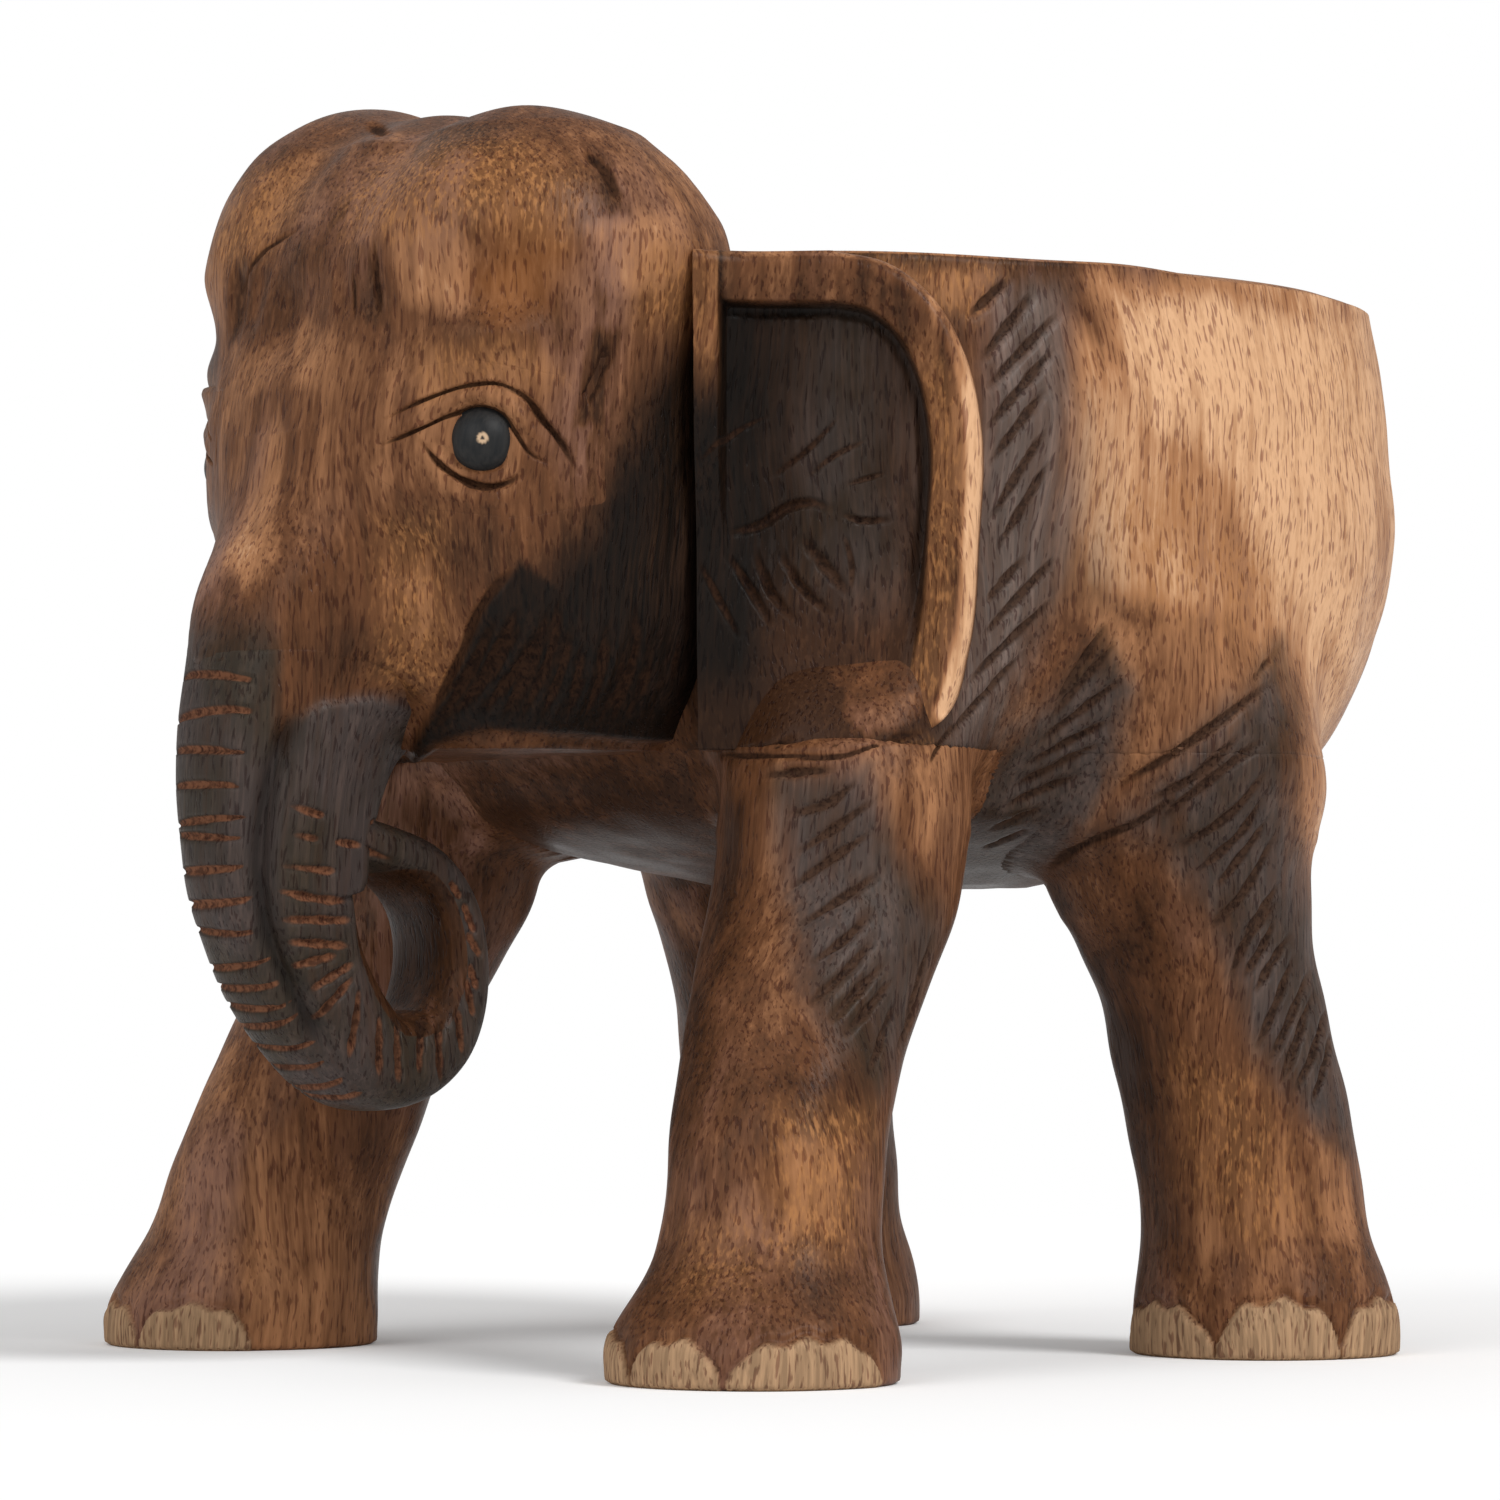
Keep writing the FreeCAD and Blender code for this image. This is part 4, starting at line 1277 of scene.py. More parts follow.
@dataclass
class Head:
    """Skull, lobes, brows, cheeks and the root of the trunk."""

    cells: int = 306
    centre: tuple[float, float, float] = (0.0, -98.0, 222.0)
    flap_height: float = 1.8
    thin: float = 2.6
    ripple: float = 0.34
    lid_columns: int = 190
    lid_rows: int = 130
    lid_box: tuple[float, float, float, float] = (358.0, 356.0, 612.0, 522.0)
    lid_bed: float = 2.6
    lid_thickness: float = 3.0
    flap: Region = Region((
        (530, 540), (484, 604), (455, 669), (430, 715), (402, 768), (438, 744), (484, 728),
        (564, 731), (640, 738), (760, 745), (760, 480), (620, 520),
    ), 5.0)

    def rays(self) -> Array:
        """Unit directions from the middle of the head.

        A square is wrapped onto a disk, radius the larger coordinate and angle an eighth turn
        times their ratio. The disk is bent round the head from the forehead to the nape.
        """
        line = np.linspace(-1.0, 1.0, self.cells)
        a, b = np.meshgrid(line, line)
        wide = np.abs(a) > np.abs(b)
        radius = np.where(wide, a, b)
        safe = np.where(np.abs(radius) < 1e-9, 1.0, radius)
        eighth = math.pi / 4.0
        angle = np.where(wide, eighth * b / safe, math.pi / 2.0 - eighth * a / safe)
        away = np.abs(radius)
        x, z = radius * np.cos(angle), radius * np.sin(angle)
        bend = math.radians(112.0) * away + math.radians(68.0) * away**10
        scale = np.sin(bend) / np.maximum(away, 1e-9)
        return np.stack([x * scale, -np.cos(bend), z * scale], axis=-1)

    def build(self) -> Grid:
        """Makes the grid and sinks it by the soft forms, the cuts and the bed of the lids."""
        rays = self.rays()
        centre = np.array(self.centre)
        reach = leave(CARVING.head, centre, rays, 150.0, 34)
        grid = Grid(centre + rays * reach[..., None], wrap=False)
        normal = grid.normals(rays).reshape(-1, 3)
        points = grid.flat()
        cuts, groove = cut_depth(points, FACE_CUTS + tuple(CHEEK_CUTS), CARVING.head)
        bed = self.lid_bed * paint(points, normal, (LID_PATCH,), 0.1)
        depth = self.depth(points, normal) + cuts + bed
        grid.points = (points - normal * depth[:, None]).reshape(grid.points.shape)
        self.face_marks(grid, points, normal)
        grid.marks["orange"] = paint(points, normal, FACE_ORANGE)
        grid.marks["black"] = paint(points, normal, CHEEK_BLACK, -0.2)
        bare = paint(points, normal, TRUNK_BARE, 0.1)
        grid.marks["stain"] = paint(points, normal, HEAD_STAIN, 0.3) * (1.0 - bare)
        grid.marks["groove"] = groove
        return grid

    def face_marks(self, grid: Grid, points: Array, normals: Array) -> None:
        """Paints the tones that the head and the lids share."""
        z = points[:, 2]
        tone = 0.36 + 0.04 * smooth_step(235.0, 275.0, z) - 0.12 * smooth_step(200.0, 165.0, z)
        grid.marks["tone"] = np.maximum(tone, paint(points, normals, FACE_LIGHT))
        grid.marks["gold"] = paint(points, normals, FACE_GOLD)
        grid.marks["shade"] = paint(points, normals, FACE_SHADE)

    def lids(self) -> Grid:
        """A finer sheet over the eye's surroundings, closed behind, where the head is sunk.

        Its points are the lines of sight through a grid of pixels, cast onto the head. Depth is
        the head's own, with the lids' forms and cuts, and its border dips under the head.
        """
        left, top, right, bottom = self.lid_box
        across = np.linspace(left, right, self.lid_columns)
        px, py = np.meshgrid(across, np.linspace(top, bottom, self.lid_rows))
        points = CAMERA.cast(np.column_stack([px.reshape(-1), py.reshape(-1)]), CARVING.head)
        grid = Grid(points.reshape(self.lid_rows, self.lid_columns, 3), wrap=False)
        normal = grid.normals(grid.points - np.array(self.centre)).reshape(-1, 3)
        pixels = CAMERA.project(points)
        border = smooth_step(-16.0, -4.0, region_gap(pixels, LID_PATCH.corners))
        cut, groove = cut_depth(points, LID_CUTS, CARVING.head)
        form = cut_depth(points, LID_FORMS, CARVING.head)[0]
        depth = self.depth(points, normal) + (cut + form) * border
        depth = depth + 1.2 * (1.0 - border) - 0.03 * border
        front = (points - normal * depth[:, None]).reshape(grid.points.shape)
        back = points - normal * (depth + self.lid_thickness)[:, None]
        back = back.reshape(grid.points.shape)
        sheet = Grid(self.closed(front, back), wrap=False)
        self.face_marks(grid, points, normal)
        grid.marks["groove"] = groove * border
        for key, values in grid.marks.items():
            table = values.reshape(front.shape[:2])
            sheet.marks[key] = self.closed(table, table)
        return sheet

    @staticmethod
    def closed(front: Array, back: Array) -> Array:
        """Front rows, the back rows in reverse and the first row again, with pinched sides."""
        middle = (front + back) / 2.0
        front, back = front.copy(), back.copy()
        for sheet in (front, back):
            sheet[:, 0], sheet[:, -1] = middle[:, 0], middle[:, -1]
        return np.concatenate([front, back[::-1], front[:1]])

    def depth(self, points: Array, normals: Array) -> Array:
        """How far the soft forms sink each point of the plain head along its normal.

        The flap of the cheek stands out, and its step fades upwards. The far side of the
        forehead is a little thinner.
        """
        z = points[:, 2]
        shelf = paint(points, normals, (self.flap,), -0.2) * self.flap_height
        shelf = shelf * smooth_step(191.0, 174.0, z)
        thin = self.thin * smooth_step(-32.0, -56.0, points[:, 0])
        thin = thin * smooth_step(222.0, 236.0, z) * smooth_step(268.0, 252.0, z)
        forms = cut_depth(points, FACE_FORMS, CARVING.head)[0]
        return forms - shelf + thin + hand_ripple(points, self.ripple)


@dataclass
class Trunk:
    """The trunk below its seam, a section carried along the path, with its ring of grooves."""

    rows: int = 400
    columns: int = 200
    strip_cuts: tuple[tuple[float, float], ...] = (
        (228, 665), (218, 699), (217, 732), (218, 765), (216, 797), (221, 830), (215, 848),
        (222, 877), (226, 908), (231, 937), (242, 971), (249, 993), (265, 1012), (275, 1031),
        (292, 1051), (318, 1069), (340, 1089), (348, 1100),
    )
    side_cuts: tuple[tuple[tuple[float, float], ...], ...] = (
        ((281, 803), (322, 816), (370, 825)), ((283, 833), (343, 845), (397, 862)),
        ((266, 864), (316, 870), (387, 881)), ((272, 889), (309, 898), (373, 904)),
        ((275, 919), (360, 921)), ((282, 941), (361, 947)), ((288, 967), (339, 955)),
        ((307, 992), (356, 962)), ((309, 1026), (332, 1002), (356, 975)),
        ((349, 1063), (358, 1016), (360, 985)), ((380, 1080), (381, 1012)),
        ((400, 1087), (397, 1019)), ((420, 1077), (422, 1019)), ((441, 1083), (439, 1016)),
        ((464, 1056), (458, 1006)), ((476, 1019), (466, 975)), ((480, 992), (469, 962)),
        ((483, 958), (466, 931)), ((476, 935), (463, 901)), ((462, 900), (450, 880)),
    )
    valley: Stroke = Stroke((
        (299, 700), (278, 762), (268, 803), (261, 864), (265, 921), (277, 958), (295, 996),
        (308, 1024), (332, 1056),
    ), 5.0, 3.0, 0.12)
    lobe_height: float = 1.7
    jowl: float = 7.0
    shove: float = 5.5
    strip_depth: float = 1.2
    strip_half_width: float = 1.25
    side_cut: tuple[float, float, float] = (1.6, 1.4, 0.3)
    hidden: float = 1.8
    root_length: float = 90.0
    ripple: float = 0.2
    lobe: Region = Region((
        (288, 745), (298, 718), (322, 704), (370, 698), (410, 701), (450, 706), (560, 740),
        (560, 1130), (370, 1130), (334, 1056), (311, 1024), (299, 996), (281, 958), (270, 921),
        (266, 864), (272, 803), (282, 762),
    ), 6.0)

    def build(self) -> Grid:
        """Makes the grid: middle + side axis times x + outward axis times out."""
        path = CARVING.trunk
        arc = np.linspace(0.0, path.arc[-1], self.rows)
        y, z, half, side, out_y, out_z = path.section(arc)
        angle = full_circle(self.columns)
        power = path.squareness
        radius = (np.abs(np.cos(angle)) ** power + np.abs(np.sin(angle)) ** power) ** (-1.0 / power)
        x = side[:, None] * (radius * np.cos(angle))[None]
        out = half[:, None] * (radius * np.sin(angle))[None]
        points = np.stack([
            x, y[:, None] + out * out_y[:, None], z[:, None] + out * out_z[:, None],
        ], axis=-1)
        middle = np.stack([np.zeros_like(y), y, z], axis=-1)[:, None, :]
        grid = Grid(points)
        normal = grid.normals(points - middle).reshape(-1, 3)
        base = grid.flat()
        along = np.repeat(arc, self.columns)
        around = along / path.arc[-1]
        joined = -blend(CARVING.crown(base), np.zeros(len(base)), CARVING.head_blend)
        jowl = np.clip(joined, 0.0, self.jowl) * smooth_step(144.0, 166.0, base[:, 2])
        jowl = jowl * (along < self.root_length)
        lobe = paint(base, normal, (self.lobe,), 0.1) * self.lobe_height
        lobe = lobe * (1.0 - smooth_step(0.36, 0.54, around))
        shove = self.shove * smooth_step(107.0, 119.0, base[:, 2])
        shove = shove * smooth_step(162.0, 148.0, base[:, 2])
        shove = shove * smooth_step(0.0, 0.8, normal[:, 1]) * (around < 0.40)
        depth, hollow = cut_depth(base, [self.valley], path)
        cuts, groove = cut_depth(base, gouges(*self.side_cut, *self.side_cuts), path)
        rearward = np.array([[0.0, 1.0, 0.0]])
        flat = base + normal * (lobe + jowl)[:, None] + rearward * shove[:, None]
        front = np.broadcast_to((np.sin(angle) > 0.0)[None], x.shape).reshape(-1)
        across = np.abs(x).reshape(-1) / np.repeat(side, self.columns)
        strip = self.strip(along, across, x.reshape(-1), front)
        depth = np.maximum(depth, np.maximum(cuts, self.strip_depth * strip))
        depth = depth + hand_ripple(flat, self.ripple)
        over_seam = smooth_step(SIZES.trunk_seam + 0.6, SIZES.trunk_seam + 3.0, flat[:, 2])
        flat = flat - normal * (depth + self.hidden * over_seam)[:, None]
        wall = flat.reshape(points.shape)
        top, tip = (
            np.broadcast_to(middle[k:k + 1], (1, self.columns, 3)) for k in (0, self.rows - 1)
        )
        whole = Grid(np.concatenate([top, wall, tip]))
        hole = np.array([[0.0, SIZES.y(SIZES.curl_reach), SIZES.curl_height]])
        to_hole = hole - base * [0.0, 1.0, 1.0]
        span = np.linalg.norm(to_hole, axis=1)
        # Inside the curl the wood is bare of stain, and its lower tone and black there are painted
        # shade.
        inner = ((to_hole * normal).sum(axis=1) > 0.45 * span) & (span < 0.8 * SIZES.curl_radius)
        bare = paint(flat, normal, TRUNK_BARE, 0.1)
        stain = np.where(inner, 0.0, 1.0) * (1.0 - bare)
        # The side cuts are darkened, more towards the bottom: painted shade in the cuts.
        low = 0.12 + 0.88 * smooth_step(98.0, 86.0, flat[:, 2])
        shaded_cuts = groove * low * (strip < 0.05)
        light = np.maximum(0.25, paint(flat, normal, FACE_LIGHT))
        whole.pad_marks(
            self.columns, self.columns,
            stain=stain,
            tone=np.where(inner, 0.14, light),
            gold=paint(flat, normal, FACE_GOLD) * bare,
            groove=np.maximum(groove, strip),
            shade=np.maximum(hollow, paint(flat, normal, FACE_SHADE) * bare),
            # Black here is painted shade in the valley beside the lobe, inside the curl and in the
            # lower cuts.
            black=np.maximum(0.6 * hollow + np.where(inner, 0.30, 0.0), 0.75 * shaded_cuts),
        )
        return whole

    def strip(self, along: Array, across: Array, x: Array, front: Array) -> Array:
        """How much each point is a cut of the front strip, from 0 to 1.

        Args:
            along: arc length of the points.
            across: distance from the middle plane, over the half width there.
            x: signed distance from the middle plane, by which the cuts lean.
            front: which points are on the outer side of the path.
        """
        total = np.zeros(len(along))
        spots = CARVING.trunk.nearest(CAMERA.cast(self.strip_cuts, CARVING.trunk))
        for index, spot in enumerate(spots):
            lean = 0.05 * math.sin(2.3 * index) * x
            reach = 0.74 + 0.06 * math.sin(4.1 * index)
            thin = np.sqrt(np.clip(1.0 - (across / reach) ** 2, 0.001, 1.0))
            thick = self.strip_half_width * thin
            q = np.clip(np.abs(along - spot - lean) / thick, 0.0, 1.0)
            cut = (1.0 - q * q) ** 2 * smooth_step(0.80, 0.66, across) * front
            total = np.maximum(total, cut)
        return total


@dataclass
class Ear:
    """The left ear: a slab with a bevelled rim round a hollow. The right one is its mirror."""

    columns: int = 420
    front_rows: int = 120
    back_rows: int = 26
    root_side: float = SIZES.ear_root_side
    root_reach: float = SIZES.ear_root_reach
    turn: float = SIZES.ear_turn
    top: float = 266.6
    foot: float = 148.0
    length: float = 61.5
    tuck: float = 6.0
    thickness: float = 14.0
    hollow: float = 8.0
    bevel: float = 3.4
    rim: float = 12.5
    rim_fall: float = 3.6
    undercut: float = 0.8
    outline: tuple[tuple[float, float], ...] = (
        (0.43, 1.000), (0.64, 0.975), (0.80, 0.915), (0.94, 0.790), (1.00, 0.640),
        (0.99, 0.420), (0.95, 0.200), (0.86, 0.060), (0.70, 0.000),
    )
    cuts: tuple[Stroke, ...] = (
        Stroke(((725, 534), (761, 524), (789, 506), (814, 502), (835, 512)), 1.8, 1.6, 0.4),
        Stroke(((840, 514), (862, 520), (893, 518)), 1.3, 1.3, 0.4),
        Stroke(((727, 552), (750, 588), (775, 631)), 1.7, 1.5, 0.5),
        Stroke(((755, 549), (771, 591), (798, 624)), 1.7, 1.6, 0.5),
        Stroke(((779, 549), (800, 584), (836, 618)), 1.7, 1.6, 0.5),
        Stroke(((800, 534), (829, 570), (852, 597)), 2.2, 1.7, 0.5),
        Stroke(((843, 531), (852, 563), (852, 595)), 1.2, 1.0, 0.5),
        Stroke(((770, 477), (807, 449), (841, 413)), 1.1, 1.1, 0.5),
        Stroke(((807, 477), (832, 456), (868, 438)), 1.1, 1.1, 0.5),
        Stroke(((845, 484), (886, 472)), 1.0, 1.0, 0.5),
        Stroke(((700, 466), (743, 427), (771, 413)), 1.0, 0.7, 0.5),
        Stroke(((700, 560), (720, 600), (742, 640)), 1.4, 0.9, 0.5),
    )

    def place(self, out: Array, back: Array, z: Array) -> Array:
        """Points of the ear from out along it, back through it, and height."""
        cos, sin = math.cos(self.turn), math.sin(self.turn)
        x = self.root_side + out * cos - back * sin
        y = SIZES.y(self.root_reach) + out * sin + back * cos
        return np.stack([x, y, np.broadcast_to(z, x.shape)], axis=-1)

    def chart(self, points: Array) -> Array:
        """Out, back and height of points, the reverse of place."""
        cos, sin = math.cos(self.turn), math.sin(self.turn)
        dx = points[..., 0] - self.root_side
        dy = points[..., 1] - SIZES.y(self.root_reach)
        return np.stack([dx * cos + dy * sin, dy * cos - dx * sin, points[..., 2]], axis=-1)

    def edge(self) -> tuple[Array, Array]:
        """The outline as evenly spaced (out, height) points, and which of them have a rim."""
        table = np.array(self.outline) * [self.length, self.top - self.foot] + [0.0, self.foot]
        chord = np.concatenate([[0.0], np.cumsum(np.linalg.norm(np.diff(table, axis=0), axis=1))])
        curve = smooth_table(np.column_stack([chord, table]), 240)[:, 1:]
        top, foot = [-self.tuck, self.top], [-self.tuck, self.foot]
        corners = np.vstack([top, curve, foot, top])
        run = np.concatenate([[0.0], np.cumsum(np.linalg.norm(np.diff(corners, axis=0), axis=1))])
        way = np.linspace(0.0, run[-1], self.columns, endpoint=False)
        line = np.column_stack([np.interp(way, run, corners[:, k]) for k in (0, 1)])
        rimmed = corners[:-2]
        return line, rimmed[rimmed[:, 1] > self.foot + 8.0]

    def build(self) -> Grid:
        """Makes the closed grid from the middle of the front, round the edge, to the back.

        How far a front point lies back depends on its distance from the outer edge: the bevel
        rises to the crest, the rim falls gently, its inner wall drops to the hollow, and the
        hollow comes forward again at its foot and where it meets the cheek.
        """
        line, rimmed = self.edge()
        middle = np.array([0.45 * self.length, 0.5 * (self.top + self.foot)])
        share = np.linspace(0.0, 1.0, self.front_rows) ** 0.8
        flat = middle + (line - middle)[None] * share[:, None, None]
        spot = flat.reshape(-1, 2)
        edge_gap, _ = line_distance(padded(spot), padded(rimmed[::3]))
        out, z = spot[:, 0], spot[:, 1]
        high = smooth_step(self.foot + 18.0, self.foot + 52.0, z)
        bevel = quarter_round(self.bevel, edge_gap)
        post = smooth_step(1.0, -0.6, out) * smooth_step(196.0, 226.0, z)
        over_rim = np.clip((edge_gap - self.bevel) / (self.rim - self.bevel), 0.0, 1.0)
        slope = self.rim_fall * (1.0 - post) * over_rim ** 1.4
        wall = smooth_step(self.rim - 1.0, self.rim + 0.6 + 3.0 * (1.0 - high), edge_gap)
        drop = (self.hollow - self.rim_fall) * wall * (0.25 + 0.75 * high) * (1.0 - post)
        bulge = -1.8 * np.exp(-((out - 22.0) ** 2 + (z - 192.0) ** 2) / 600.0)
        swell = -3.2 * np.exp(-((out - 26.0) ** 2 / 260.0 + (z - 158.0) ** 2 / 110.0))
        inner = smooth_step(self.rim - 4.0, self.rim + 6.0, edge_gap)
        depth = bevel + slope + drop + (bulge + swell) * inner
        under = smooth_step(self.rim - 0.4, self.rim + 0.6, edge_gap)
        under = under * smooth_step(self.rim + 3.6, self.rim + 1.4, edge_gap)
        under = under * high * (1.0 - post)
        wave = 2.0 * out + 1.4 * np.sin(0.09 * z) + 0.5 * np.sin(0.31 * z + out)
        chatter = np.sin(wave) * (edge_gap > self.rim + 2.0)
        cut, groove = self.carve(spot)
        depth = depth + cut + self.undercut * under + 0.14 * chatter * high
        front = self.place(out, depth, z)
        forward = np.array([math.sin(self.turn), -math.cos(self.turn), 0.0])
        front = front + forward * self.meet_head(front, forward)[:, None]
        back_share = np.linspace(1.0, 0.0, self.back_rows) ** 0.7
        flat_back = middle + (line - middle)[None] * back_share[:, None, None]
        sag = 3.0 * smooth_step(0.75, 1.0, back_share)[:, None]
        back = self.place(flat_back[..., 0], self.thickness - sag, flat_back[..., 1])
        face = front.reshape(self.front_rows, self.columns, 3)
        grid = Grid(np.concatenate([face, back]))
        facet = paint(front, np.tile(forward, (len(front), 1)), EAR_FACET)
        self.mark(grid, spot, edge_gap, under, facet)
        grid.pad_marks(0, self.back_rows * self.columns, groove=groove)
        return grid

    def mark(self, grid: Grid, spot: Array, edge_gap: Array, under: Array, facet: Array) -> None:
        """Paints the front, and gives the back one tone.

        Args:
            grid: the ear's closed grid, the front first.
            spot: (out, height) of the front points.
            edge_gap: their distance from the outer edge.
            under: how much each is in the undercut of the rim.
            facet: tone of the light facet at the foot.
        """
        out, z = spot[:, 0], spot[:, 1]
        rim_share = 1.0 - smooth_step(self.rim - 1.5, self.rim + 0.5, edge_gap)
        low = smooth_step(self.foot + 50.0, self.foot + 24.0, z)
        upper = smooth_step(self.foot + 78.0, self.foot + 104.0, z)
        # The lighter strip along the lower outer edge and the thin lighter edge line are painted
        # highlights.
        side_edge_highlight = smooth_step(4.6, 2.2, edge_gap) * smooth_step(30.0, 44.0, out)
        edge_line_highlight = smooth_step(1.6, 0.7, edge_gap)
        stripes = np.sin(0.9 * out + 0.5 * np.sin(0.5 * out)) * np.sin(0.05 * z + 0.4 * out)
        tone = 0.13 + 0.20 * rim_share + side_edge_highlight * (0.62 - 0.52 * upper) + 0.20 * edge_line_highlight
        tone = np.maximum(tone + 0.10 * stripes * rim_share, facet)
        inside = (1.0 - rim_share) * (1.0 - 0.92 * low)
        near_head = smooth_step(30.0, 4.0, out)
        beside = smooth_step(6.0, -3.0, out) * (1.0 - 0.45 * low)
        beside = beside + smooth_step(16.0, 2.0, out) * low
        # 0.45 times under is painted shade in the rim's undercut; the rest of black is the ear's
        # own black.
        black = inside * (0.34 + 0.66 * near_head) + beside + 0.45 * under
        root = smooth_step(0.4, -0.8, out) * smooth_step(224.0, 248.0, z)
        seam = 0.9 * np.exp(-((out - 0.3) / 0.7) ** 2) * smooth_step(216.0, 236.0, z)
        paler_foot = 1.0 - 0.5 * smooth_step(self.foot + 24.0, self.foot + 6.0, z)
        black = np.clip(black, 0.0, 1.0) * (1.0 - root) * paler_foot
        tone = tone + (0.42 - tone) * root
        browner = smooth_step(30.0, 46.0, out) * (1.0 - rim_share)
        gold = 0.8 * rim_share * smooth_step(3.0, 6.0, edge_gap) * (1.0 - upper)
        back = self.back_rows * self.columns
        grid.marks["tone"] = np.concatenate([tone, np.full(back, 0.4)])
        grid.pad_marks(
            0, back,
            gold=np.maximum(gold, 0.5 * root),
            stain=inside * (1.0 - near_head) * (1.0 - 0.55 * browner),
            black=np.maximum(black, seam),
            shade=0.7 * low * (1.0 - facet) * (1.0 - rim_share),
        )

    def carve(self, spot: Array) -> tuple[Array, Array]:
        """Depth of the cuts on the ear's face, measured in its own plane, and the gouge share."""
        def plane(points: Array) -> Array:
            return self.hollow - 1.0 - self.chart(points)[..., 1]

        depth, groove = np.zeros(len(spot)), np.zeros(len(spot))
        for stroke in self.cuts:
            line = self.chart(CAMERA.cast(refine_pixels(stroke.pixels), plane))[:, [0, 2]]
            gap, along = line_distance(padded(spot), padded(line))
            q = np.clip(gap / stroke.width, 0.0, 1.0)
            ends = np.clip(np.minimum(along, 1.0 - along) / stroke.taper, 0.0, 1.0)
            section = (1.0 - q * q) ** 2 * ends ** 0.7
            depth = np.maximum(depth, section * stroke.depth)
            groove = np.maximum(groove, section)
        return depth, groove

    def meet_head(self, front: Array, forward: Array) -> Array:
        """How far forward each front point moves so that the hollow flows onto the cheek.

        It is the way along the ear's normal at which the smooth minimum of the head's field and
        the height over the ear is 0.
        """
        def joined(points: Array) -> Array:
            height = ((points - front) * forward).sum(axis=-1)
            return blend(CARVING.head(points), height, 16.0)

        near_root = self.chart(front)[:, 0] < 34.0
        rays = np.broadcast_to(forward, front.shape)
        return np.where(near_root, leave(joined, front - forward * 0.01, rays, 22.0, 16), 0.0)


@dataclass
class Eye:
    """A painted ball, sunk in the left socket, with a fine pale ring. The right mirrors it."""

    radius: float = 8.8
    sink: float = 6.8
    pixel: tuple[float, float] = (480.0, 439.0)
    dot_pixel: tuple[float, float] = (483.0, 437.0)
    far_shift: float = 1.4
    columns: int = 96
    rows: int = 60

    def build(self) -> Grid:
        """Makes a sphere whose pole faces out of the socket, so its rows ring the pupil."""
        place = CAMERA.cast([self.pixel], CARVING.head)[0]
        steps = 0.5 * np.eye(3)
        slope = CARVING.head(place + steps) - CARVING.head(place - steps)
        normal = slope / np.linalg.norm(slope)
        side = np.cross(normal, UP)
        side /= np.linalg.norm(side)
        up = np.cross(side, normal)
        tilt = np.linspace(0.0, math.pi, self.rows)[:, None, None]
        turn = full_circle(self.columns)[None, :, None]
        ball = np.cos(tilt) * normal + np.sin(tilt) * (np.cos(turn) * side + np.sin(turn) * up)
        grid = Grid(place - normal * self.sink + ball * self.radius)
        flat = grid.flat()
        dot = CAMERA.cast([self.dot_pixel], CARVING.head)[0] + normal * (self.radius - self.sink)
        gap = np.linalg.norm(flat - dot, axis=1)
        ring = smooth_step(0.3, 0.6, gap) * smooth_step(1.5, 1.1, gap)
        grid.marks["pale"] = ring * (flat @ normal > place @ normal)
        return grid


# Finishes

